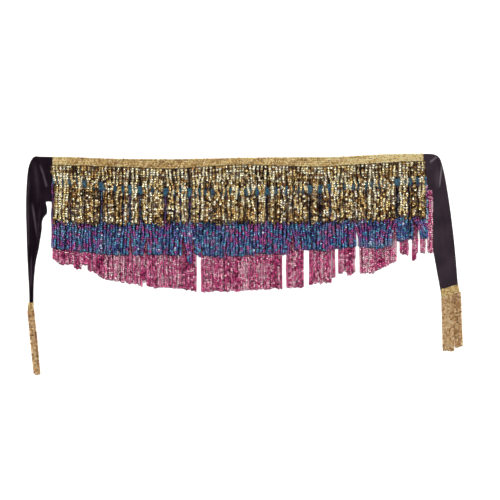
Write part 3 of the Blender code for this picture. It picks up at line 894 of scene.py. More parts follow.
@dataclass(frozen=True)
class SequinFoil:
    """Metallic foil on cupped sequins: each sequin has a tone of its own whose range also paints glints, and
    painted shade darkens it where a row covers it.
    """

    name: str
    lot: ToneAndPaintedLightRamp
    pale: Colour
    pale_share: float
    metallic: float
    roughness: float
    coat: float = 0.3

    def material(self, effects: Effects) -> Material:
        """Makes the foil's material, which reads the sequins' own attributes.

        Args:
            effects: the shared effects.

        Returns:
            The material.
        """
        material, tree, shader = shader_of(self.name)
        lot, strand, cover = (
            add_node(tree, "ShaderNodeAttribute", attribute_name=tag).outputs["Fac"]
            for tag in ("lot", "strand", "cover")
        )
        ramp = add_node(tree, "ShaderNodeValToRGB")
        stops, shades = ramp.color_ramp.elements, self.lot.value
        for stop, shade in zip(stops, (shades[0], shades[-1])):
            stop.position, stop.color = shade.start, (*shade.colour, 1.0)
        for shade in shades[1:-1]:
            stops.new(shade.start).color = (*shade.colour, 1.0)
        feed(tree, lot, ramp.inputs["Fac"])
        handling = effects.handling.place(tree)
        # Pale strands, whose share also paints white glints on single sequins
        pale_strand_and_glint = spread(tree, strand, 0.95 - self.pale_share, 1.0 - self.pale_share, 0.0, 0.8)
        colour = blend_colour(tree, pale_strand_and_glint, ramp.outputs["Color"], (*self.pale, 1.0))
        rubbed = blend_colour(tree, calc(tree, "MULTIPLY", handling["Rub"], 0.2), colour, (*self.pale, 1.0))
        # Painted shade: sequins under other strings turn towards dark brown and lose most of their coat
        dark = blend_colour(tree, cover, (1.0, 1.0, 1.0, 1.0), (0.09, 0.06, 0.07, 1.0))
        feed(tree, blend_colour(tree, 1.0, rubbed, dark, "MULTIPLY"), shader.inputs["Base Color"])
        worn = spread(tree, handling["Rub"], 0.0, 1.0, self.metallic, 0.8 * self.metallic)
        feed(tree, worn, shader.inputs["Metallic"])
        dull = calc(tree, "MULTIPLY_ADD", handling["Scratch"], 0.16, self.roughness - 0.08)
        feed(tree, dull, shader.inputs["Roughness"])
        feed(tree, spread(tree, cover, 0.0, 1.0, self.coat, 0.1 * self.coat), shader.inputs["Coat Weight"])
        add_bump(tree, shader, handling["Scratch"], strength=0.15, distance=0.0001)
        set_sockets(shader, {"Coat Roughness": 0.1})
        return material


@dataclass(frozen=True)
class WovenTape:
    """Narrow woven tape and the thread that is sewn through it."""

    name: str
    colour: Colour
    thread: Colour
    metallic: float = 0.0

    def material(self, effects: Effects) -> Material:
        """Makes the tape's material from the shared weave.

        Args:
            effects: the shared effects.

        Returns:
            The material.
        """
        material, tree, shader = shader_of(self.name)
        weave = effects.weave.place(tree)
        handling = effects.handling.place(tree)
        colour = blend_colour(tree, weave["Thread"], (*self.thread, 1.0), (*self.colour, 1.0))
        worn = blend_colour(tree, calc(tree, "MULTIPLY", handling["Rub"], 0.3), colour, (*self.colour, 1.0))
        feed(tree, worn, shader.inputs["Base Color"])
        feed(tree, spread(tree, weave["Thread"], 0.0, 1.0, 0.75, 0.5), shader.inputs["Roughness"])
        add_bump(tree, shader, weave["Thread"], strength=0.5, distance=0.0002)
        set_sockets(shader, {"Metallic": self.metallic})
        return material


# Small things that repeat, each modelled once


@dataclass(frozen=True)
class Pattern:
    """One small thing: its points in millimetres, and its faces as point numbers."""

    points: Array
    faces: tuple[tuple[int, ...], ...]


def deselect_all() -> None:
    """Clears the selection, so that the next operator acts on its own piece alone."""
    bpy.ops.object.select_all(action="DESELECT")


def select_faces(obj: Piece, wanted: Callable[[bpy.types.MeshPolygon], bool]) -> None:
    """Selects an object's faces in edit mode by a test on each face.

    Args:
        obj: the object, in edit mode.
        wanted: the test, which gets each face.
    """
    bpy.ops.mesh.select_mode(type="FACE")
    bpy.ops.mesh.select_all(action="DESELECT")
    bpy.ops.object.mode_set(mode="OBJECT")
    for polygon in obj.data.polygons:
        polygon.select = wanted(polygon)
    bpy.ops.object.mode_set(mode="EDIT")


def take_pattern(obj: Piece) -> Pattern:
    """Reads a modelled thing as a pattern, and removes its object.

    Args:
        obj: what was modelled.

    Returns:
        Its points and faces.
    """
    bpy.ops.object.mode_set(mode="OBJECT")
    points = np.array([obj.matrix_world @ vert.co for vert in obj.data.vertices], float)
    faces = tuple(tuple(polygon.vertices) for polygon in obj.data.polygons)
    bpy.data.objects.remove(obj, do_unlink=True)
    return Pattern(points, faces)


@dataclass(frozen=True)
class SequinCup:
    """A cupped sequin: eight facets round its middle and a hollow back, in millimetres."""

    radius: float = 3.1
    depth: float = 0.1
    hollow: float = 0.04
    facets: int = 8

    def model(self) -> Pattern:
        """Shapes the cup from a low cone whose base is pushed in at its middle.

        Returns:
            The cup's pattern.
        """
        deselect_all()
        bpy.ops.mesh.primitive_cone_add(
            vertices=self.facets, radius1=self.radius, radius2=0.0, depth=self.depth, end_fill_type="TRIFAN"
        )
        cup = bpy.context.object
        bpy.ops.object.mode_set(mode="EDIT")
        bpy.ops.mesh.select_mode(type="VERT")
        bpy.ops.mesh.select_all(action="DESELECT")
        bpy.ops.object.mode_set(mode="OBJECT")
        for vert in cup.data.vertices:
            vert.select = vert.co.xy.length < 0.1 and vert.co.z < 0.0
        bpy.ops.object.mode_set(mode="EDIT")
        bpy.ops.transform.translate(value=(0.0, 0.0, self.hollow))
        return take_pattern(cup)


@dataclass(frozen=True)
class EndKnot:
    """The knot that keeps the sequins on a string, in millimetres."""

    radius: float = 1.5
    length: float = 2.1

    def model(self) -> Pattern:
        """Shapes the knot from a small round bead, longer along its string.

        Returns:
            The knot's pattern.
        """
        deselect_all()
        bpy.ops.mesh.primitive_ico_sphere_add(subdivisions=1, radius=self.radius)
        knot = bpy.context.object
        bpy.ops.object.mode_set(mode="EDIT")
        bpy.ops.mesh.select_all(action="SELECT")
        bpy.ops.transform.resize(value=(self.length / self.radius, 1.0, 1.0))
        return take_pattern(knot)


@dataclass(frozen=True)
class Stitch:
    """One stitch of thread that lies along +X, in millimetres."""

    length: float = 2.4
    radius: float = 0.24
    sides: int = 5

    def model(self) -> Pattern:
        """Shapes the stitch from a short rod whose ends come to a point.

        Returns:
            The stitch's pattern.
        """
        deselect_all()
        bpy.ops.mesh.primitive_cylinder_add(
            vertices=self.sides, radius=self.radius, depth=self.length, rotation=(0.0, math.pi / 2, 0.0)
        )
        stitch = bpy.context.object
        bpy.ops.object.transform_apply(rotation=True)
        bpy.ops.object.mode_set(mode="EDIT")
        select_faces(stitch, lambda polygon: abs(polygon.normal.x) > 0.9)
        bpy.ops.mesh.poke(offset=self.radius, use_relative_offset=False)
        return take_pattern(stitch)


def linked_mesh(name: str, points: Array, sizes: Array, corners: Array) -> Piece:
    """Makes a mesh piece at the origin.

    Args:
        name: the piece's name.
        points: its points in millimetres, n by 3.
        sizes: how many corners each face has.
        corners: the faces' corners in a row, as point numbers.

    Returns:
        The linked object.
    """
    mesh = bpy.data.meshes.new(name)
    mesh.vertices.add(len(points))
    placed = np.asarray(points) * MM + frame_shift()
    mesh.vertices.foreach_set("co", placed.astype(np.float32).ravel())
    mesh.loops.add(len(corners))
    mesh.loops.foreach_set("vertex_index", corners.astype(np.int32))
    mesh.polygons.add(len(sizes))
    mesh.polygons.foreach_set("loop_start", (np.cumsum(sizes) - sizes).astype(np.int32))
    mesh.update(calc_edges=True)
    mesh.validate()
    obj = bpy.data.objects.new(name, mesh)
    bpy.context.scene.collection.objects.link(obj)
    return obj


def tag(piece: Piece, name: str, values: Array) -> None:
    """Stores a number for each point of a piece, which its material reads by name."""
    layer = piece.data.attributes.new(name, "FLOAT", "POINT")
    layer.data.foreach_set("value", np.asarray(values, np.float32))


def upright(count: int) -> Array:
    """Normals that point straight up."""
    return np.tile((0.0, 0.0, 1.0), (count, 1))


def spun(rng: Rng, count: int) -> Array:
    """Headings in the plane, each turned by chance."""
    spin = rng.uniform(0.0, 2 * np.pi, count)
    return np.stack((np.cos(spin), np.sin(spin), np.zeros(count)), axis=-1)


class Places:
    """Where the copies of a pattern go: their centres, the way they face, the way they head, their tags."""

    def __init__(self) -> None:
        """Starts with no places."""
        self.centres: list[Array] = []
        self.normals: list[Array] = []
        self.heads: list[Array] = []
        self.tags: dict[str, list[Array]] = {}

    def add(self, centres: Array, normals: Array, heads: Array, **tags: Array) -> None:
        """Adds places, each an n by 3 array, and the number that each tag has there.

        Args:
            centres: where the copies lie, n by 3, in millimetres.
            normals: the way that each one faces, n by 3.
            heads: the way that each one heads, n by 3.
            tags: the number that each tag has there.
        """
        self.centres.append(centres)
        self.normals.append(normals)
        self.heads.append(heads)
        for name, values in tags.items():
            self.tags.setdefault(name, []).append(np.broadcast_to(values, len(centres)))

    def fill(self, name: str, pattern: Pattern) -> Piece:
        """Copies a pattern to every place, as one mesh, and lifts a copy that would dip into the floor.

        Args:
            name: the piece's name.
            pattern: what is copied.

        Returns:
            The piece, with the tags as its attributes.
        """
        centres, normals, heads = (np.vstack(part) for part in (self.centres, self.normals, self.heads))
        normals = normals / np.linalg.norm(normals, axis=1, keepdims=True)
        heads = heads - normals * np.sum(heads * normals, axis=1, keepdims=True)
        heads = heads / np.linalg.norm(heads, axis=1, keepdims=True)
        sides = np.cross(normals, heads)
        axes = np.stack((heads, sides, normals), axis=1)
        points = centres[:, None, :] + np.einsum("pk,nkj->npj", pattern.points, axes)
        points[:, :, 2] += np.maximum(0.0, FLOOR_GAP - points[:, :, 2].min(axis=1))[:, None]
        count, each = len(centres), len(pattern.points)
        base = np.concatenate([np.asarray(face) for face in pattern.faces])
        corners = (np.arange(count)[:, None] * each + base[None, :]).ravel()
        sizes = np.tile([len(face) for face in pattern.faces], count)
        piece = linked_mesh(name, points.reshape(-1, 3), sizes, corners)
        for name_of_tag, values in self.tags.items():
            tag(piece, name_of_tag, np.repeat(np.concatenate(values), each))
        return piece


def dress(piece: Piece, material: Material, replaces: Sequence[str] = ()) -> Piece:
    """Gives a piece its material, its body and the nodes it stands for.

    Args:
        piece: the piece.
        material: its material.
        replaces: the nodes that it stands for.

    Returns:
        The same piece.
    """
    piece.data.materials.append(material)
    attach(piece, "root")
    if replaces:
        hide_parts(*replaces)
    log.info("%s: %d faces", piece.name, len(piece.data.polygons))
    return piece


def face_outwards(piece: Piece) -> None:
    """Turns all faces of a closed piece outwards, and leaves it selected and active.

    Args:
        piece: the closed piece.
    """
    deselect_all()
    piece.select_set(True)
    bpy.context.view_layer.objects.active = piece
    bpy.ops.object.mode_set(mode="EDIT")
    bpy.ops.mesh.select_all(action="SELECT")
    bpy.ops.mesh.normals_make_consistent(inside=False)
    bpy.ops.object.mode_set(mode="OBJECT")


def wall_piece(name: str, grid: Array) -> Piece:
    """A closed wall over a grid of points.

    Args:
        name: the piece's name.
        grid: rows by columns by (x, y, underside, top), in millimetres, with x rising along the rows
            and y falling along the columns, or turned together.

    Returns:
        The piece, shaded smooth.
    """
    rows, columns = grid.shape[:2]
    tops = grid[:, :, [0, 1, 3]].reshape(-1, 3)
    unders = grid[:, :, [0, 1, 2]].reshape(-1, 3)
    count = rows * columns
    index = np.arange(count).reshape(rows, columns)
    quads = np.stack((index[:-1, :-1], index[:-1, 1:], index[1:, 1:], index[1:, :-1]), axis=-1).reshape(-1, 4)
    rim = np.concatenate((index[:, 0], index[-1, 1:], index[-2::-1, -1], index[0, -2:0:-1]))
    after = np.roll(rim, -1)
    sides = np.stack((rim, after, after + count, rim + count), axis=-1)
    faces = np.vstack((quads, quads[:, ::-1] + count, sides))
    piece = linked_mesh(name, np.vstack((tops, unders)), np.full(len(faces), 4), faces.ravel())
    face_outwards(piece)
    bpy.ops.object.shade_smooth_by_angle(angle=SMOOTH_ANGLE)
    return piece


# The cloth


@dataclass
class PanelCloth:
    """The flat panel: a wall with a turned hem at its lower edge and the slight ripple of laid cloth."""

    columns: int = 180
    rows: int = 36
    ripple: float = 0.14
    ripple_lengths: tuple[float, float, float, float] = (17.0, 41.0, 23.0, 90.0)
    hem: float = 6.0
    hem_rise: float = 0.12

    def grid(self) -> Array:
        """The panel's points, column by column.

        Returns:
            Their x, y, underside and top, in millimetres, in the last axis.
        """
        x = np.linspace(PANEL_LEFT, PANEL_RIGHT, self.columns + 1)[:, None]
        f = np.linspace(0.0, 1.0, self.rows + 1)[None, :]
        head, foot = top_edge(x), panel_foot(x)
        y = head + (foot - head) * f
        a, b, c, d = self.ripple_lengths
        wave = np.sin(x / a + y / b) * np.sin(y / c - x / d)
        hem = self.hem_rise * (1 - ease((y - foot) / self.hem))
        top = CLOTH - self.ripple + self.ripple * wave + hem
        return np.stack(np.broadcast_arrays(x, y, 0.0 * y, top), axis=-1)

    def build(self, cloth: Material) -> None:
        """Makes the panel.

        Args:
            cloth: its material.
        """
        panel = dress(wall_piece("panel_cloth", self.grid()), cloth, ["panel"])
        x = np.linspace(PANEL_LEFT, PANEL_RIGHT, 400)
        length, drops = (PANEL_RIGHT - PANEL_LEFT) * MM, (top_edge(x) - panel_foot(x)) * MM


def nearest_on(line: Sequence[tuple[float, float]], x: Array, y: Array) -> tuple[Array, Array]:
    """The distance from points to a line of points, and how far along it the nearest place is.

    Args:
        line: the line's points.
        x: the points' x.
        y: the points' y.

    Returns:
        The distances, and the shares of the line, 0 to 1.
    """
    best = np.full(np.shape(x), np.inf)
    along = np.zeros(np.shape(x))
    for k in range(len(line) - 1):
        (ax, ay), (bx, by) = line[k], line[k + 1]
        t = ((x - ax) * (bx - ax) + (y - ay) * (by - ay)) / ((bx - ax) ** 2 + (by - ay) ** 2)
        t = np.clip(t, 0.0, 1.0)
        distance = np.hypot(x - mix(ax, bx, t), y - mix(ay, by, t))
        nearer = distance < best
        best = np.where(nearer, distance, best)
        along = np.where(nearer, (k + t) / (len(line) - 1), along)
    return best, along


@dataclass
class TieCloth:
    """A tie: a wall over its sections, with its creases, a hem along both sides and a row of stitches."""

    name: str
    sections: tuple[Section, ...]
    creases: tuple[Crease, ...]
    fine: tuple[Crease, ...]
    streaks: tuple[Streak, ...]
    flat: tuple[float, float]
    area: float
    held: str
    rows_each: int = 9
    columns: int = 44
    rim: float = 7.0
    crease_share: float = 0.2
    hem: float = 5.0
    hem_rise: float = 0.4
    hem_step: float = 1.2
    seam_inset: float = 3.4
    seam_half: float = 0.5
    groove: float = 0.18
    edge_drop: float = 0.45
    edge_round: float = 1.4
    stitch_pitch: float = 3.3
    stitch_rise: float = 0.06
    unsewn: tuple[float, float] = (0.15, 0.1)
    edge_share: float = 0.35

    def surface(self, at: Array, f: Array) -> Array:
        """Points of the tie.

        Args:
            at: how many sections along the tie each point is.
            f: how far across it is, 0 at the outer edge and 1 at the inner one.

        Returns:
            The points' x, y, underside and top, in millimetres, in the last axis.
        """
        places = range(len(self.sections))
        here = [smooth(at, places, [s[c] for s in self.sections]) for c in range(len(Section._fields))]
        outer_x, outer_y, inner_x, inner_y, filled = here
        width = np.hypot(outer_x - inner_x, outer_y - inner_y)
        x, y = outer_x + (inner_x - outer_x) * f, outer_y + (inner_y - outer_y) * f
        lift = self.lift_at(self.creases, x, y, width) * ease(at)
        from_rim = np.minimum(f, 1 - f) * width
        open_share = 1 - np.clip(filled, 0.0, 1.0)
        hollow = lift * ease(from_rim / self.rim) * open_share
        detail = self.lift_at(self.fine, x, y, width) * ease(at / 2)
        past_hem = (from_rim - self.hem + self.hem_step) / self.hem_step
        turned = self.hem_rise * (1 - ease(past_hem)) * open_share
        from_seam = (from_rim - self.seam_inset) / self.seam_half
        seam = self.groove * np.exp(-(from_seam**2)) * (width > 3 * self.hem)
        round_over = self.edge_drop * (1 - ease(from_rim / self.edge_round))
        top = CLOTH + lift + detail + turned - seam - round_over
        return np.stack(np.broadcast_arrays(x, y, hollow, top), axis=-1)

    def lift_at(self, creases: Sequence[Crease], x: Array, y: Array, width: Array) -> Array:
        """How far creases lift the cloth at points, on a stretch of that width.

        Args:
            creases: the creases.
            x: the points' x.
            y: the points' y.
            width: how wide the tie is there.

        Returns:
            The lift at each point, in millimetres.
        """
        total = np.zeros(np.shape(x))
        for crease in creases:
            distance, along = nearest_on(crease.line, x, y)
            half = np.minimum(crease.half_width, self.crease_share * width)
            fade = ease(along * 5) * (1.0 if crease.runs_on else ease((1 - along) * 4))
            total = total + crease.rise * fade * np.exp(-((distance / half) ** 2))
        return total

    def painted_highlight_at(self, x: Array, y: Array) -> Array:
        """How much painted highlight the streaks put on points, 0 to 1.

        Args:
            x: the points' x.
            y: the points' y.

        Returns:
            The share at each point.
        """
        bright = np.zeros(np.shape(x))
        for streak in self.streaks:
            distance, along = nearest_on(streak.line, x, y)
            fade = ease(along * 4) * ease((1 - along) * 4)
            glow = streak.strength * fade * np.exp(-((distance / streak.half_width) ** 2))
            bright = np.maximum(bright, glow)
        return bright

    def stitches(self, stitch: Pattern, thread: Material) -> Piece:
        """Sews both hems with a row of stitches that follow the cloth.

        Args:
            stitch: one stitch.
            thread: its material.

        Returns:
            The stitches as one piece.
        """
        places = Places()
        ends = len(self.sections) - 1
        at = np.linspace(self.unsewn[0], ends - self.unsewn[1], 1200)
        chord = self.surface(at, np.zeros_like(at)) - self.surface(at, np.ones_like(at))
        width = np.hypot(chord[:, 0], chord[:, 1])
        inset = np.clip(self.seam_inset / np.maximum(width, 1.0), 0.02, 0.3)
        for f in (inset, 1 - inset):
            line = self.surface(at, f)[:, [0, 1, 3]]
            steps = np.concatenate(([0.0], np.cumsum(np.linalg.norm(np.diff(line, axis=0), axis=1))))
            marks = np.arange(self.stitch_pitch, steps[-1], self.stitch_pitch)
            centres = np.stack([np.interp(marks, steps, line[:, k]) for k in range(3)], axis=-1)
            heads = np.stack([np.interp(marks + 0.5, steps, line[:, k]) for k in range(3)], axis=-1) - centres
            centres[:, 2] += self.stitch_rise
            places.add(centres, upright(len(centres)), heads)
        return dress(places.fill(f"{self.name}_stitches", stitch), thread)

    def build(self, cloth: Material, thread: Material, stitch: Pattern) -> None:
        """Makes the tie and its stitches.

        Args:
            cloth: the tie's material.
            thread: the stitches' material.
            stitch: one stitch.
        """
        steps = (len(self.sections) - 1) * self.rows_each
        at = np.linspace(0.0, len(self.sections) - 1, steps + 1)[:, None]
        f = np.linspace(0.0, 1.0, self.columns + 1)[None, :]
        f = mix(f, 0.5 - 0.5 * np.cos(f * np.pi), self.edge_share)
        grid = self.surface(*np.broadcast_arrays(at, f))
        tie = wall_piece(f"{self.name}_cloth", grid)
        # The painted highlight along the streaks, which the cloth's colour reads
        tag(tie, "painted_highlight_share", np.tile(self.painted_highlight_at(grid[:, :, 0], grid[:, :, 1]).ravel(), 2))
        dress(tie, cloth, [self.name])
        sewn = self.stitches(stitch, thread)


# Tapes and strings


@dataclass
class SequinTape:
    """A woven tape between two curves, with rows of overlapping sequins sewn along it."""

    name: str
    left: float
    right: float
    head: Callable[[Array], Array]
    foot: Callable[[Array], Array]
    rows: int = 5
    pitch: float = 2.7
    sequin_share: float = 0.9
    shingle: float = 10.0
    unevenness: float = 5.0
    stray: tuple[float, float] = (0.2, 0.55)
    bare_ends: tuple[float, float] = (2.4, 2.2)
    bare_top: float = 1.6
    rise: float = 0.35
    zigzag: float = 2.6
    zigzag_inset: float = 1.3
    zigzag_rise: float = 0.22
    selvedge: float = 0.16
    thick: float = 0.7
    low: float = ON_CLOTH
    columns: int = 240
    # Painted light: the sequins' tone along x, lighter towards the ends where the lamps catch the tape
    lit: tuple[tuple[float, float], ...] = ((0.0, 0.5),)

    def strip(self, weave: Material) -> Piece:
        """The woven strip, thicker along its two selvedges.

        Args:
            weave: its material.

        Returns:
            The strip.
        """
        x = np.linspace(self.left, self.right, self.columns + 1)[:, None]
        f = np.linspace(0.0, 1.0, 11)[None, :]
        y = self.head(x) + (self.foot(x) - self.head(x)) * f
        selvedge = self.selvedge * np.exp(-((np.minimum(f, 1 - f) / 0.06) ** 2))
        top = self.low + self.thick + selvedge + 0.05 * np.sin(x / 3.1)
        grid = np.stack(np.broadcast_arrays(x, y, self.low + 0.0 * y, top), axis=-1)
        return dress(wall_piece(f"{self.name}_tape", grid), weave, [f"{self.name}_band"])

    def sequins(self, cup: Pattern, foil: Material, rng: Rng) -> Piece:
        """Rows of sequins that lie along the tape, each over the one before it.

        Args:
            cup: one sequin.
            foil: its material.
            rng: the source of small differences.

        Returns:
            The sequins as one piece.
        """
        places = Places()
        for row in range(self.rows):
            first = self.left + self.bare_ends[0] + (row % 2) * self.pitch / 2
            x = np.arange(first, self.right - self.bare_ends[1], self.pitch)
            x = x + rng.normal(0.0, self.stray[0], len(x))
            upper, lower = self.head(x) - self.bare_top, mix(self.head(x), self.foot(x), self.sequin_share)
            y = mix(upper, lower, row / (self.rows - 1)) + rng.normal(0.0, self.stray[1], len(x))
            z = self.low + self.thick + self.rise + rng.uniform(-0.08, 0.08, len(x))
            roll = np.radians(self.shingle + rng.normal(0.0, self.unevenness, len(x)))
            nod = np.radians(rng.normal(2.0, self.unevenness, len(x)))
            normals = np.stack((np.sin(roll), -np.sin(nod), np.cos(roll)), axis=-1)
            heads = spun(rng, len(x))
            patch = 0.2 * np.sin(x / 11.0 + row) * np.sin(x / 29.0) + rng.normal(0.0, 0.22, len(x))
            # Painted light from the lit table
            shade = np.interp(x, [place for place, _ in self.lit], [light for _, light in self.lit])
            lot, strand = np.clip(shade + patch, 0.0, 1.0), rng.uniform(0.0, 1.0, len(x))
            places.add(np.stack((x, y, z), axis=-1), normals, heads, lot=lot, strand=strand, cover=0.0)
        return dress(places.fill(f"{self.name}_tape_sequins", cup), foil)

    def stitches(self, stitch: Pattern, thread: Material) -> Piece:
        """A zigzag of thread along both edges of the tape.

        Args:
            stitch: one stitch.
            thread: its material.

        Returns:
            The stitches as one piece.
        """
        places = Places()
        for line, inward in ((self.head, -1.0), (self.foot, 1.0)):
            x = np.arange(self.left + 2.0, self.right - 2.0, self.zigzag)
            y = line(x) + inward * self.zigzag_inset
            lean = np.where(np.arange(len(x)) % 2 == 0, 1.0, -1.0)
            z = np.full(len(x), self.low + self.thick + self.zigzag_rise)
            heads = np.stack((np.full(len(x), 1.0), lean * 0.8, np.zeros(len(x))), axis=-1)
            places.add(np.stack((x, y, z), axis=-1), upright(len(x)), heads)
        return dress(places.fill(f"{self.name}_tape_stitches", stitch), thread)

    def build(self, cup: Pattern, stitch: Pattern, foil: Material, weave: Material, rng: Rng) -> None:
        """Makes the tape with its sequins and its stitches.

        Args:
            cup: one sequin.
            stitch: one stitch.
            foil: the sequins' material.
            weave: the tape's material.
            rng: the source of small differences.
        """
        strip = self.strip(weave)
        sewn_on = [self.sequins(cup, foil, rng), self.stitches(stitch, weave)]


@dataclass(frozen=True)
class Hang:
    """How one layer of a row's strings hangs, in millimetres and degrees."""

    pitch: float = 4.6
    spacing: float = 4.0
    part: float = 0.0
    settle: float = 0.5
    tuft: int = 2
    gather: float = 0.4
    stray: float = 0.8
    wander: float = 0.9
    waves: float = 2.2
    twist: float = 30.0
    together: float = 0.6
    unevenness: float = 15.0
    shingle: float = 8.0
    ragged: float = 1.6
    scallop: float = 0.0
    inset: float = 2.3
    depth: tuple[float, float] = (0.65, 0.9)
    shade_from: float = 0.2
    shade_to: float = 0.95
    shade_spread: float = 0.2
    patch: float = 0.0
    patch_size: float = 3.0
    # How far the tone falls towards the strings' lower ends
    darker_down: float = 0.0
    # Painted shade on the layer's sequins, an even share and patches, for the strings over it
    cover: float = 0.0
    mottle: float = 0.0
    shorter: float = 0.0
    bare: bool = False
    thread_step: int = 3


def hidden_layer(**sizes: object) -> Hang:
    """The strings below a row's front ones, painted darker as shade: ungathered, flat and on coarser threads.

    Args:
        sizes: the Hang fields that differ from those of the other hidden layers.

    Returns:
        How the layer hangs.
    """
    shared = {"gather": 0.0, "depth": (0.1, 0.2), "shade_to": 0.6, "thread_step": 6}
    return Hang(**{**shared, **sizes})


class StringPath(NamedTuple):
    """One string: its sequins' centres, how far down it each is, how pale it is, and its tuft's shade."""

    points: Array
    down: Array
    strand: float
    shade: float


def tips_line(clumps: Sequence[Clump]) -> Callable[[Array], Array]:
    """The line along a row's tips, as a function of x.

    Args:
        clumps: the row's clumps.

    Returns:
        The function, which gives y.
    """
    places = [x for clump in clumps for x in (clump.tip, clump.tip_end)]
    heights = [y for clump in clumps for y in (clump.tip_y, clump.tip_y_end)]
    return lambda x: np.interp(x, places, heights)


def lie_at(x: Array, y: Array) -> Array:
    """How neighbouring strings turn together at places, from -1 to 1."""
    return 0.5 * (np.sin(x / 5.3 + y / 13.0) * np.sin(x / 19.0 - y / 7.7) + np.sin(x / 9.1 - y / 17.0))


def patch_at(size: float, x: Array, y: Array) -> Array:
    """The patches of like sequins that cross neighbouring strings, from -1 to 1."""
    across = np.sin(x / size + 1.7 * np.sin(y / (2.3 * size)))
    return across * np.sin(y / (1.2 * size) + 1.9 * np.sin(x / (1.8 * size)))


@dataclass
class FringeRow:
    """A row of sequin strings that hang from a line, in one or two layers."""

    name: str
    slot: str
    clumps: tuple[Clump, ...]
    root_line: Callable[[float], float]
    levels: Callable[[float], tuple[Level, ...]]
    front: Hang
    under: Hang | None = None
    covered_by: tuple[Clump, ...] = ()
    # Painted shade on the strings under the row above, fading in above that row's tips
    cover_depth: float = 0.5
    cover_fade: float = 7.0
    passes: tuple[Callable[[float], float], Callable[[float], float]] | None = None
    drop: float = 0.6
    leans: bool = False
    uneven_spacing: float = 0.25
    thread_radius: float = 0.28
    thread_above: float = 2.6
    thread_below: float = 1.6
    knot_below: float = 2.3

    def layer_of(self, hang: Hang) -> str:
        """What a layer's pieces have in their names after the row's own."""
        return "under_" if hang is self.under else ""

    def strings(self, hang: Hang, rng: Rng) -> list[StringPath]:
        """Every string of a layer, clump by clump.

        Args:
            hang: how the layer hangs.
            rng: the source of small differences.

        Returns:
            The strings' paths.
        """
        paths = []
        inset = hang.inset + hang.shorter
        for clump in self.clumps:
            width = clump.root_end - clump.root - 2 * inset
            count = max(2, round(width / hang.pitch) + 1)
            shares = np.linspace(0.0, 1.0, count)
            middles, shades, ends = self.tufts(hang, shares, rng)
            for k, share in enumerate(shares):
                edge_string = k in (0, count - 1)
                pulled = share if edge_string else mix(share, middles[k], hang.gather)
                root_x = mix(clump.root + inset, clump.root_end - inset, share)
                tip_x = mix(clump.tip + inset, clump.tip_end - inset, pulled)
                tip_x = tip_x if edge_string else tip_x + rng.normal(0.0, hang.stray)
                root_y = float(self.root_line(root_x)) - self.drop
                tip_y = mix(clump.tip_y, clump.tip_y_end, share) + inset
                tip_y = tip_y + rng.uniform(-0.4, 1.0) * hang.ragged + ends[k]
                paths.append(self.path_of(hang, (root_x, root_y), (tip_x, tip_y), shades[k], rng))
        return paths

    def tufts(self, hang: Hang, shares: Array, rng: Rng) -> tuple[Array, Array, Array]:
        """Splits a clump's strings into tufts.

        Args:
            hang: how the layer hangs.
            shares: where the strings are across the clump, 0 to 1.
            rng: the source of small differences.

        Returns:
            For each string its tuft's middle and shade, and how far it ends above the clump's tip.
        """
        ends = np.cumsum(rng.integers(max(1, hang.tuft - 1), hang.tuft + 2, len(shares)))
        member = np.searchsorted(ends, np.arange(len(shares)), side="right")
        middles = np.bincount(member, shares) / np.bincount(member)
        shades, rises = rng.uniform(0.0, 1.0, (2, len(middles)))
        rounding = 2 * np.abs(shares - middles[member]) * len(shares) / max(1, hang.tuft)
        return middles[member], shades[member], hang.scallop * (rises[member] + 0.5 * rounding - 0.6)

    def lean(self, root_x: float) -> float:
        """How far the whole row leans sideways at a root, for a row that leans.

        Args:
            root_x: where the string is rooted.

        Returns:
            The lean, in millimetres.
        """
        first, last = self.clumps[0], self.clumps[-1]
        ends = (first.tip - first.root, last.tip_end - last.root_end)
        return float(np.interp(root_x, (first.root, last.root_end), ends)) if self.leans else 0.0

    def path_of(
        self, hang: Hang, root: tuple[float, float], tip: tuple[float, float], shade: float, rng: Rng
    ) -> StringPath:
        """One string from its root to its tip.

        Args:
            hang: how its layer hangs.
            root: x and y at the tape.
            tip: x and y at the lower end.
            shade: its tuft's shade, 0 to 1.
            rng: the source of small differences.

        Returns:
            The string's path.
        """
        count = max(3, round((root[1] - tip[1]) / hang.spacing) + 1)
        down = np.linspace(0.0, 1.0, count)
        waves, phase = rng.uniform(0.8, hang.waves), rng.uniform(0.0, 2 * np.pi)
        sway = hang.wander * np.sin(2 * np.pi * waves * down + phase)
        sway = sway * ease(down * 3) * (1 - 0.5 * ease(down))
        lean = self.lean(root[0])
        x = root[0] + lean * down + (tip[0] - root[0] - lean) * ease((down - hang.part) / hang.settle) + sway
        y = root[1] + (tip[1] - root[1]) * down + rng.normal(0.0, self.uneven_spacing, count)
        levels = self.levels(mix(root[0], tip[0], 0.5))
        drops = [-float(level.y) for level in levels]
        low = np.interp(-y, drops, [level.low for level in levels])
        high = np.interp(-y, drops, [level.high for level in levels])
        z = low + (high - low) * np.clip(rng.uniform(*hang.depth) + rng.normal(0.0, 0.05, count), 0.1, 0.95)
        return StringPath(np.stack((x, y, z), axis=-1), down, rng.uniform(), shade)

    def cover_at(self, hang: Hang, path: StringPath) -> Array:
        """How far painted shade darkens each sequin of a string for what lies over it, 0 to 1.

        Args:
            hang: how its layer hangs.
            path: the string.

        Returns:
            The share for each sequin.
        """
        x, y = path.points[:, 0], path.points[:, 1]
        cover = hang.cover + hang.mottle * patch_at(0.8 * hang.patch_size, y, x)
        if self.covered_by:
            above_tips = (y - tips_line(self.covered_by)(x)) / self.cover_fade
            beneath = ease(above_tips) * (x < self.covered_by[-1].root_end)
            cover = np.maximum(cover, self.cover_depth * beneath)
        return np.clip(cover, 0.0, 1.0)

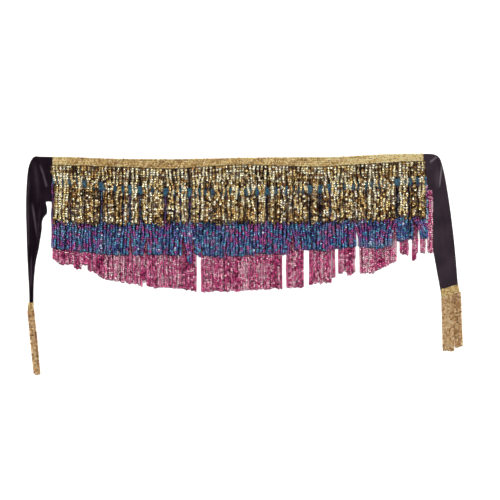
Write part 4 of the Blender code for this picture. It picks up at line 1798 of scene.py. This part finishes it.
    def sequins(self, hang: Hang, paths: Sequence[StringPath], cup: Pattern, rng: Rng) -> Piece:
        """Threads a sequin on every point of the strings, turned as the string twists.

        Args:
            hang: how the layer hangs.
            paths: its strings.
            cup: the sequin.
            rng: the source of small differences.

        Returns:
            The layer's sequins as one piece.
        """
        places = Places()
        for path in paths:
            x, y, count = path.points[:, 0], path.points[:, 1], len(path.points)
            shown = np.ones(count, bool)
            if hang.bare and self.passes:
                head, foot = (line(x) for line in self.passes)
                shown = (y > head + 1.0) | (y < foot - 1.0)
            along = np.gradient(path.points, axis=0)
            along = along / np.linalg.norm(along, axis=1, keepdims=True)
            across = np.cross(along, (0.0, 0.0, 1.0))
            across = across / np.linalg.norm(across, axis=1, keepdims=True)
            up = np.cross(across, along)
            turns, phase = rng.uniform(0.6, 2.4), rng.uniform(0.0, 2 * np.pi)
            own = np.sin(2 * np.pi * turns * path.down + phase)
            roll = hang.twist * mix(own, lie_at(x, y), hang.together)
            roll = np.radians(roll + rng.normal(0.0, hang.unevenness, count))[:, None]
            nod = hang.shingle + 0.5 * hang.twist * lie_at(y, x)
            nod = np.radians(nod + rng.normal(0.0, 0.8 * hang.unevenness, count))[:, None]
            facing = np.cos(nod) * (np.cos(roll) * up + np.sin(roll) * across) + np.sin(nod) * along
            spin = rng.uniform(0.0, 2 * np.pi, count)[:, None]
            heads = np.cos(spin) * along + np.sin(spin) * across
            # Each sequin's tone differs at random, and its spread also paints glints and shade
            shade = mix(hang.shade_from, hang.shade_to, path.shade) - hang.darker_down * ease(path.down)
            shade = shade + hang.patch * patch_at(hang.patch_size, x, y)
            lot = np.clip(shade + rng.normal(0.0, hang.shade_spread, count), 0.0, 1.0)
            cover = self.cover_at(hang, path)
            strand = np.clip(mix(path.strand, rng.uniform(0.0, 1.0, count), 0.6), 0.0, 1.0)
            tags = {"lot": lot[shown], "strand": strand[shown], "cover": cover[shown]}
            places.add(path.points[shown], facing[shown], heads[shown], **tags)
        return places.fill(f"{self.name}_{self.layer_of(hang)}strings", cup)

    def threads(self, hang: Hang, paths: Sequence[StringPath]) -> Piece:
        """The thread through each string, from the tape's edge to a knot past its last sequin.

        Args:
            hang: how the layer hangs.
            paths: its strings.

        Returns:
            The threads as one piece.
        """
        points, faces = [], []
        base = 0
        for path in paths:
            start = path.points[0] + (0.0, self.thread_above, 0.0)
            end = path.points[-1] - (0.0, self.thread_below, 0.0)
            line = np.vstack((start, path.points[:: hang.thread_step], end))
            count = len(line)
            for corner in range(3):
                angle = 2 * np.pi * corner / 3
                points.append(line + self.thread_radius * np.array((np.cos(angle), 0.0, np.sin(angle))))
                this, other = base + corner * count, base + (corner + 1) % 3 * count
                faces.extend((this + i, this + i + 1, other + i + 1, other + i) for i in range(count - 1))
            faces.append((base, base + count, base + 2 * count))
            faces.append((base + 3 * count - 1, base + 2 * count - 1, base + count - 1))
            base += 3 * count
        name, sizes = f"{self.name}_{self.layer_of(hang)}threads", np.array([len(face) for face in faces])
        piece = linked_mesh(name, np.vstack(points), sizes, np.concatenate(faces))
        face_outwards(piece)
        return piece

    def knots(self, paths: Sequence[StringPath], knot: Pattern) -> Piece:
        """A knot past the last sequin of each string.

        Args:
            paths: the strings.
            knot: one knot.

        Returns:
            The knots as one piece.
        """
        places = Places()
        ends = np.array([path.points[-1] for path in paths])
        heads = np.tile((0.0, -1.0, 0.0), (len(ends), 1))
        places.add(ends - (0.0, self.knot_below, 0.0), upright(len(ends)), heads)
        return places.fill(f"{self.name}_knots", knot)

    def build(
        self, cup: Pattern, knot: Pattern, foil: Material, thread: Material, knot_thread: Material, rng: Rng
    ) -> None:
        """Makes the row: its strings in both layers, their threads and their knots.

        Args:
            cup: one sequin.
            knot: one knot.
            foil: the sequins' material.
            thread: the threads' material.
            knot_thread: the knots' material.
            rng: the source of small differences.
        """
        for hang in filter(None, (self.under, self.front)):
            paths = self.strings(hang, rng)
            dress(self.sequins(hang, paths, cup, rng), foil, [f"{self.name}_fringe"])
            dress(self.threads(hang, paths), thread)
            if hang is self.front:
                dress(self.knots(paths, knot), knot_thread)


@dataclass
class BunchedTape:
    """The tape round the left tie's end: a low mound of pleats with sequins over it."""

    columns: int = 40
    rows: int = 14
    pleats: int = 5
    pleat_rise: float = 0.45
    sequin_rows: int = 6
    sequin_columns: int = 7
    rise: float = 0.35

    def surface(self, f: Array, g: Array) -> Array:
        """Points of the mound.

        Args:
            f: how far across it each point is, 0 to 1.
            g: how far down it each point is, 0 to 1.

        Returns:
            The points' x, y, underside and top, in millimetres, in the last axis.
        """
        left, right = (mix(a, b, g) for a, b in zip(*BUNCH_ENDS))
        x = left + (right - left) * f
        y = mix(BUNCH_TOP, BUNCH_FOOT - CLEARANCE - HEADING + 0.4, g)
        crown = 1 - (2 * f - 1) ** 4
        pleat = self.pleat_rise * np.sin(f * self.pleats * 2 * np.pi + 0.6 * np.sin(g * 3)) * crown
        top = BUNCH_EDGE + (BUNCH_HEIGHT - 0.9 - BUNCH_EDGE) * crown + pleat
        return np.stack(np.broadcast_arrays(x, y, 0.0 * y, top), axis=-1)

    def build(self, weave: Material, foil: Material, cup: Pattern, rng: Rng) -> None:
        """Makes the mound and the sequins that follow its pleats.

        Args:
            weave: the tape's material.
            foil: the sequins' material.
            cup: one sequin.
            rng: the source of small differences.
        """
        f = np.linspace(0.0, 1.0, self.columns + 1)[:, None]
        g = np.linspace(0.0, 1.0, self.rows + 1)[None, :]
        dress(wall_piece("left_tie_tape", self.surface(f, g)), weave, ["left_tie_band"])
        across = np.linspace(0.06, 0.94, self.sequin_columns)
        f, g = np.meshgrid(across, np.linspace(0.06, 0.92, self.sequin_rows), indexing="ij")
        f = f.ravel() + rng.normal(0.0, 0.012, f.size)
        g = g.ravel() + rng.normal(0.0, 0.02, g.size)
        here, beside = self.surface(f, g), self.surface(f + 0.02, g)
        slope = (beside[:, 3] - here[:, 3]) / (beside[:, 0] - here[:, 0])
        normals = np.stack((-slope, rng.normal(0.1, 0.12, f.size), np.ones(f.size)), axis=-1)
        heads = spun(rng, f.size)
        places = Places()
        centres = here[:, [0, 1, 3]] + (0.0, 0.0, self.rise)
        lot, strand = rng.uniform(0, 1, f.size), rng.uniform(0, 0.7, f.size)
        places.add(centres, normals, heads, lot=lot, strand=strand, cover=0.0)
        dress(places.fill("left_tie_tape_sequins", cup), foil)


@dataclass
class EndTape:
    """The flat tape across the right tie's end, over its last two sections."""

    columns: int = 24
    rows: int = 8
    thick: float = 0.8
    selvedge: float = 0.15
    sequin_rows: int = 5
    sequin_columns: int = 14
    rise: float = 0.45

    def point(self, f: Array, g: Array) -> tuple[Array, Array]:
        """The x and y of places a share f across the tape and g down it.

        Args:
            f: the shares across it.
            g: the shares down it.

        Returns:
            The places' x and y.
        """
        head, foot = RIGHT_TIE_SECTIONS[-2], RIGHT_TIE_SECTIONS[-1]
        upper = mix(head.inner_x, head.outer_x, f), mix(head.inner_y, head.outer_y, f)
        lower = mix(foot.inner_x, foot.outer_x, f), mix(foot.inner_y, foot.outer_y, f)
        return mix(upper[0], lower[0], g), mix(upper[1], lower[1], g)

    def build(self, weave: Material, foil: Material, cup: Pattern, rng: Rng) -> None:
        """Makes the tape and its sequins.

        Args:
            weave: the tape's material.
            foil: the sequins' material.
            cup: one sequin.
            rng: the source of small differences.
        """
        f = np.linspace(0.0, 1.0, self.columns + 1)[:, None]
        g = np.linspace(0.0, 1.0, self.rows + 1)[None, :]
        x, y = self.point(f, g)
        selvedge = self.selvedge * np.exp(-((np.minimum(g, 1 - g) / 0.08) ** 2))
        top = ON_CLOTH + self.thick + selvedge + 0.0 * x
        tape = wall_piece("right_tie_tape", np.stack((x, y, ON_CLOTH + 0.0 * x, top), axis=-1))
        dress(tape, weave, ["right_tie_band"])
        across, along = np.linspace(0.05, 0.95, self.sequin_columns), np.linspace(0.1, 0.86, self.sequin_rows)
        f, g = (shares.ravel() for shares in np.meshgrid(across, along, indexing="ij"))
        x, y = self.point(f + rng.normal(0, 0.008, f.size), g + rng.normal(0, 0.02, g.size))
        z = ON_CLOTH + self.thick + self.rise + rng.uniform(-0.1, 0.1, f.size)
        lean, nod = rng.normal(0.15, 0.13, f.size), rng.normal(0.0, 0.13, f.size)
        normals = np.stack((lean, nod, np.ones(f.size)), axis=-1)
        heads = spun(rng, f.size)
        places = Places()
        centres = np.stack((x, y, z), axis=-1)
        lot, strand = rng.uniform(0.3, 1, f.size), rng.uniform(0, 0.9, f.size)
        places.add(centres, normals, heads, lot=lot, strand=strand, cover=0.0)
        dress(places.fill("right_tie_tape_sequins", cup), foil)


# The studio


@dataclass(frozen=True)
class Softbox:
    """A square studio light that points at the scarf, in metres and watts."""

    name: str
    place: tuple[float, float, float]
    size: float
    power: float
    colour: Colour = (1.0, 1.0, 1.0)

    def build(self, aim: tuple[float, float, float]) -> None:
        """Hangs the light and turns it to its aim.

        Args:
            aim: the point that it faces, in metres.
        """
        lamp = bpy.data.lights.new(self.name, "AREA")
        lamp.shape = "SQUARE"
        lamp.size = self.size
        lamp.energy = self.power
        lamp.color = self.colour
        holder = bpy.data.objects.new(self.name, lamp)
        holder.location = self.place
        away = [a - b for a, b in zip(self.place, aim)]
        turn = math.atan2(away[0], -away[1])
        holder.rotation_euler = (math.atan2(math.hypot(*away[:2]), away[2]), 0.0, turn)
        bpy.context.scene.collection.objects.link(holder)


@dataclass
class Studio:
    """The white table, the room, the softboxes and the camera straight above."""

    centre: tuple[float, float] = (0.01525, 0.0359)
    span: float = 1.25
    lens: float = 85.0
    sensor: float = 36.0
    room: Colour = (0.022, 0.022, 0.025)
    panel_light: Colour = (3.5, 3.4, 3.2)
    patch_scale: float = 9.0
    patch_edge: float = 0.545
    table: float = 8.0
    table_glow: float = 0.3
    softboxes: tuple[Softbox, ...] = (
        Softbox("key_softbox", place=(-1.3, 1.0, 2.3), size=0.9, power=10.0, colour=(1.0, 0.97, 0.92)),
        Softbox("fill_softbox", place=(1.6, -0.9, 2.2), size=0.9, power=7.0, colour=(0.95, 0.97, 1.0)),
        Softbox("top_softbox", place=(0.5, 1.5, 2.8), size=0.5, power=3.0),
        Softbox("low_softbox", place=(-0.7, -1.7, 2.3), size=0.5, power=3.0),
        Softbox("near_flash", place=(0.22, 0.3, 3.1), size=0.3, power=16.0),
    )

    def light_room(self) -> None:
        """A room that shows as white, and that lights the scarf with soft panels between darker walls."""
        world = bpy.data.worlds.new("studio_room")
        bpy.context.scene.world = world
        world.use_nodes = True
        tree = world.node_tree
        background = tree.nodes["Background"]
        around = add_node(tree, "ShaderNodeTexCoord").outputs["Generated"]
        patches = noise(tree, around, self.patch_scale, Detail=1.0)
        lit = spread(tree, patches, self.patch_edge, self.patch_edge + 0.05, 0.0, 1.0)
        room = blend_colour(tree, lit, (*self.room, 1.0), (*self.panel_light, 1.0))
        seen = add_node(tree, "ShaderNodeLightPath").outputs["Is Camera Ray"]
        feed(tree, blend_colour(tree, seen, room, (1.0, 1.0, 1.0, 1.0)), background.inputs["Color"])

    def lay_table(self) -> None:
        """The pale, plain surface that the scarf lies on, as a thin slab."""
        deselect_all()
        bpy.ops.mesh.primitive_plane_add(size=self.table, location=(*self.centre, 0.0))
        table = bpy.context.object
        table.name = "white_table"
        bpy.ops.object.mode_set(mode="EDIT")
        bpy.ops.mesh.extrude_region_move(TRANSFORM_OT_translate={"value": (0.0, 0.0, -0.05)})
        bpy.ops.mesh.select_all(action="SELECT")
        bpy.ops.mesh.normals_make_consistent(inside=False)
        bpy.ops.object.mode_set(mode="OBJECT")
        bpy.ops.object.transform_apply(location=True)
        material, tree, shader = shader_of("table_paper")
        grain = noise(tree, object_place(tree), 140.0)
        tone = blend_colour(tree, grain, (0.94, 0.94, 0.94, 1.0), (0.97, 0.97, 0.97, 1.0))
        feed(tree, tone, shader.inputs["Base Color"])
        white = {"Emission Color": (1.0, 1.0, 1.0, 1.0), "Emission Strength": self.table_glow}
        set_sockets(shader, {"Roughness": 1.0, "Specular IOR Level": 0.0, **white})
        table.data.materials.append(material)

    def place_camera(self) -> None:
        """A long lens straight above, with the top of the picture up the cloth."""
        camera = bpy.data.cameras.new("above")
        camera.sensor_width = self.sensor
        camera.lens = self.lens
        holder = bpy.data.objects.new("above", camera)
        holder.location = (*self.centre, self.span * self.lens / self.sensor + 0.004)
        bpy.context.scene.collection.objects.link(holder)
        bpy.context.scene.camera = holder

    def build(self) -> None:
        """Sets up the whole studio."""
        bpy.context.scene.view_settings.view_transform = "Standard"
        self.light_room()
        self.lay_table()
        for softbox in self.softboxes:
            softbox.build((*self.centre, 0.0))
        self.place_camera()


# The scarf, put together


class SmallParts:
    """The small things that repeat, each modelled once."""

    def __init__(self) -> None:
        """Models the cups of each row, the stitch and the knot."""
        self.end_cup = SequinCup().model()
        self.tape_cup = SequinCup(radius=2.4, depth=0.22, hollow=0.12).model()
        self.gold_cup = SequinCup(radius=4.2).model()
        self.blue_cup = SequinCup(radius=3.9).model()
        self.magenta_cup = SequinCup(radius=3.4).model()
        self.stitch = Stitch().model()
        self.knot = EndKnot().model()


class Finishes:
    """Every material of the scarf."""

    def __init__(self, effects: Effects) -> None:
        """Makes the cloths, then the tapes and threads, then the foils.

        Args:
            effects: the shared effects.
        """
        # One black knit in three copies: the left tie's is painted darker as shade and the right tie's
        # lighter as light, where the nap lies against and with the light
        self.panel_cloth, self.left_cloth, self.right_cloth = (
            cloth.material(effects)
            for cloth in (
                StretchCloth(
                    "black_panel_cloth", deep=(0.004, 0.003, 0.004), brushed=(0.01, 0.007, 0.01),
                    painted_highlight=(0.04, 0.03, 0.04), sheen=0.02, gloss=0.1, roughness=0.6,
                ),
                StretchCloth(
                    "black_cloth_against_nap", deep=(0.003, 0.0005, 0.003), brushed=(0.008, 0.0022, 0.008),
                    painted_highlight=(0.1, 0.075, 0.1), sheen=0.008, gloss=0.045, roughness=0.45,
                ),
                StretchCloth(
                    "black_cloth_with_nap", deep=(0.014, 0.007, 0.0135), brushed=(0.026, 0.0145, 0.024),
                    painted_highlight=(0.16, 0.14, 0.16), sheen=0.025, gloss=0.1, roughness=0.48,
                ),
            )
        )
        self.black_thread, self.gold_weave, self.blue_weave, self.magenta_weave = (
            tape.material(effects)
            for tape in (
                WovenTape("black_thread", colour=(0.02, 0.014, 0.02), thread=(0.01, 0.008, 0.01)),
                WovenTape(
                    "gold_tape_weave", colour=(0.3, 0.19, 0.07), thread=(0.1, 0.055, 0.02), metallic=0.3
                ),
                WovenTape("blue_tape_weave", colour=(0.015, 0.04, 0.09), thread=(0.006, 0.01, 0.03)),
                WovenTape("magenta_tape_weave", colour=(0.12, 0.008, 0.04), thread=(0.04, 0.003, 0.015)),
            )
        )
        self.gold_foil, self.band_foil, self.end_foil, self.blue_foil, self.teal_foil, self.magenta_foil = (
            foil.material(effects)
            for foil in (
                SequinFoil(
                    "gold_foil", ToneAndPaintedLightRamp.GOLD, pale=(1.0, 0.95, 0.8), pale_share=0.2, metallic=0.92,
                    roughness=0.13,
                ),
                SequinFoil(
                    "gold_band_foil", ToneAndPaintedLightRamp.BAND_GOLD, pale=(1.0, 0.85, 0.5), pale_share=0.1, metallic=0.8,
                    roughness=0.36, coat=0.1,
                ),
                SequinFoil(
                    "tan_end_foil", ToneAndPaintedLightRamp.END_GOLD, pale=(0.9, 0.74, 0.5), pale_share=0.1, metallic=0.8,
                    roughness=0.36, coat=0.1,
                ),
                SequinFoil(
                    "blue_foil", ToneAndPaintedLightRamp.BLUE, pale=(0.6, 0.76, 0.95), pale_share=0.1, metallic=0.88,
                    roughness=0.16, coat=0.5,
                ),
                SequinFoil(
                    "teal_band_foil", ToneAndPaintedLightRamp.BAND_TEAL, pale=(0.2, 0.4, 0.55), pale_share=0.1, metallic=0.8,
                    roughness=0.33,
                ),
                SequinFoil(
                    "magenta_foil", ToneAndPaintedLightRamp.MAGENTA, pale=(1.0, 0.74, 0.8), pale_share=0.18, metallic=0.8,
                    roughness=0.2, coat=0.12,
                ),
            )
        )


def sew_cloth(parts: SmallParts, finishes: Finishes) -> None:
    """Makes the panel and the two ties.

    Args:
        parts: the small things that repeat.
        finishes: the materials.
    """
    PanelCloth().build(finishes.panel_cloth)
    left = TieCloth(
        "left_tie", LEFT_TIE_SECTIONS, LEFT_TIE_CREASES, LEFT_FINE_CREASES, LEFT_STREAKS,
        flat=(0.11, 0.38), area=0.0165, held="gathered",
    )
    right = TieCloth(
        "right_tie", RIGHT_TIE_SECTIONS, RIGHT_TIE_CREASES, RIGHT_FINE_CREASES, RIGHT_STREAKS,
        flat=(0.11, 0.37), area=0.0225, held="laid",
    )
    left.build(finishes.left_cloth, finishes.black_thread, parts.stitch)
    right.build(finishes.right_cloth, finishes.black_thread, parts.stitch)


def sew_tapes(parts: SmallParts, finishes: Finishes, rng: Rng) -> None:
    """Makes the three tapes across the panel and those on the ties' ends.

    Args:
        parts: the small things that repeat.
        finishes: the materials.
        rng: the source of small differences.
    """
    # The gold tape's lit table paints light on its sequins, lighter towards its ends
    gold = SequinTape(
        "gold", TRIM_LEFT, GOLD_RIGHT, top_edge, gold_foot, shingle=6.0, unevenness=9.0,
        lit=((-479, 0.75), (-420, 0.6), (-350, 0.42), (100, 0.5), (180, 0.65), (300, 0.8), (380, 1.0)),
    )
    blue = SequinTape("blue", TRIM_LEFT, BLUE_RIGHT, blue_head, blue_foot)
    magenta = SequinTape("magenta", TRIM_LEFT, MAGENTA_RIGHT, magenta_head, panel_foot)
    gold.build(parts.tape_cup, parts.stitch, finishes.band_foil, finishes.gold_weave, rng)
    blue.build(parts.tape_cup, parts.stitch, finishes.teal_foil, finishes.blue_weave, rng)
    magenta.build(parts.tape_cup, parts.stitch, finishes.magenta_foil, finishes.magenta_weave, rng)
    for tape in (BunchedTape(), EndTape()):
        tape.build(finishes.gold_weave, finishes.band_foil, parts.tape_cup, rng)


def hang_rows(parts: SmallParts, finishes: Finishes, rng: Rng) -> None:
    """Hangs the three rows of strings from the panel's tapes.

    Args:
        parts: the small things that repeat.
        finishes: the materials.
        rng: the source of small differences.
    """
    gold = FringeRow(
        "gold", "gold", GOLD_CLUMPS, gold_foot, gold_levels, passes=(blue_head, blue_foot), drop=5.2,
        front=Hang(
            pitch=9.4, spacing=5.8, settle=0.4, tuft=3, stray=1.4, wander=2.2, waves=4.4, twist=17.0,
            together=0.7, unevenness=6.5, ragged=3.0, scallop=6.0, inset=3.2, shade_from=0.45,
            shade_to=0.85, shade_spread=0.26, patch=0.42, darker_down=0.2, cover=0.1, mottle=0.45,
        ),
        under=hidden_layer(
            pitch=9.0, spacing=6.0, settle=0.4, tuft=1, stray=1.5, inset=-2.0, ragged=8.0, cover=0.75,
            mottle=0.4, bare=True,
        ),
    )
    blue = FringeRow(
        "blue", "blue", BLUE_CLUMPS, blue_foot, blue_levels, covered_by=GOLD_CLUMPS,
        front=Hang(
            pitch=7.6, spacing=5.4, part=0.55, settle=0.4, tuft=3, gather=0.2, stray=1.0, wander=1.6,
            waves=4.0, twist=16.0, together=0.7, unevenness=5.5, scallop=4.0, inset=1.3, shade_from=0.4,
            shade_to=0.7, shade_spread=0.06, patch=0.44, patch_size=5.0, mottle=0.4,
        ),
        under=hidden_layer(
            pitch=5.0, spacing=5.2, part=0.55, settle=0.4, stray=0.0, wander=0.2, inset=1.3,
            shade_from=0.1, cover=0.6, shorter=0.4,
        ),
    )
    magenta = FringeRow(
        "magenta", "magenta", MAGENTA_CLUMPS, panel_foot, magenta_levels, covered_by=BLUE_CLUMPS,
        front=Hang(
            pitch=6.4, spacing=5.2, settle=0.45, gather=0.2, stray=0.9, wander=1.2, waves=4.0, twist=16.0,
            together=0.7, unevenness=6.0, scallop=4.0, inset=1.4, shade_from=0.36, shade_to=0.94,
            shade_spread=0.18, patch=0.28, patch_size=4.0, mottle=0.2,
        ),
        under=hidden_layer(
            pitch=5.0, spacing=5.2, settle=0.45, stray=0.0, wander=0.2, scallop=4.0, inset=1.4,
            cover=0.45, shorter=0.3,
        ),
    )
    gold_weave, blue_weave, magenta_weave = finishes.gold_weave, finishes.blue_weave, finishes.magenta_weave
    gold.build(parts.gold_cup, parts.knot, finishes.gold_foil, gold_weave, gold_weave, rng)
    blue.build(parts.blue_cup, parts.knot, finishes.blue_foil, blue_weave, blue_weave, rng)
    # The magenta knots are black thread: real knots, whose dark also paints the shade at the strings' ends
    magenta.build(
        parts.magenta_cup, parts.knot, finishes.magenta_foil, magenta_weave, finishes.black_thread, rng
    )


def hang_ends(parts: SmallParts, finishes: Finishes, rng: Rng) -> None:
    """Hangs the short strings from the ties' ends.

    Args:
        parts: the small things that repeat.
        finishes: the materials.
        rng: the source of small differences.
    """
    left = FringeRow(
        "left_tie", "gold", LEFT_TIE_CLUMPS, left_end_line, left_end_levels, leans=True,
        front=Hang(
            pitch=2.7, gather=0.0, wander=0.6, ragged=3.0, shade_from=0.15, shade_to=0.65, patch=0.3,
            patch_size=2.4, cover=0.05, mottle=0.3,
        ),
    )
    right = FringeRow(
        "right_tie", "gold", RIGHT_TIE_CLUMPS, right_end_line, right_end_levels, leans=True,
        front=Hang(
            pitch=4.2, part=0.6, settle=0.4, gather=0.0, stray=0.3, wander=0.5, inset=1.0, twist=22.0,
            unevenness=14.0, ragged=3.0, shade_from=0.25, shade_to=0.85, shade_spread=0.3, patch=0.2,
            patch_size=2.4, mottle=0.2,
        ),
        under=hidden_layer(
            pitch=4.0, part=0.6, settle=0.4, stray=0.0, wander=0.1, inset=1.0, depth=(0.15, 0.35),
            cover=0.12,
        ),
    )
    for row in (left, right):
        weave = finishes.gold_weave
        row.build(parts.end_cup, parts.knot, finishes.end_foil, weave, weave, rng)


def main() -> None:
    """Builds the scarf's pieces in order, then the studio."""
    rng = np.random.default_rng(SEED)
    finishes = Finishes(Effects())
    parts = SmallParts()
    sew_cloth(parts, finishes)
    sew_tapes(parts, finishes, rng)
    hang_rows(parts, finishes, rng)
    hang_ends(parts, finishes, rng)
    Studio().build()


if __name__ == "__main__":
    logging.basicConfig(level=logging.INFO, format="%(name)s: %(message)s")
    main()
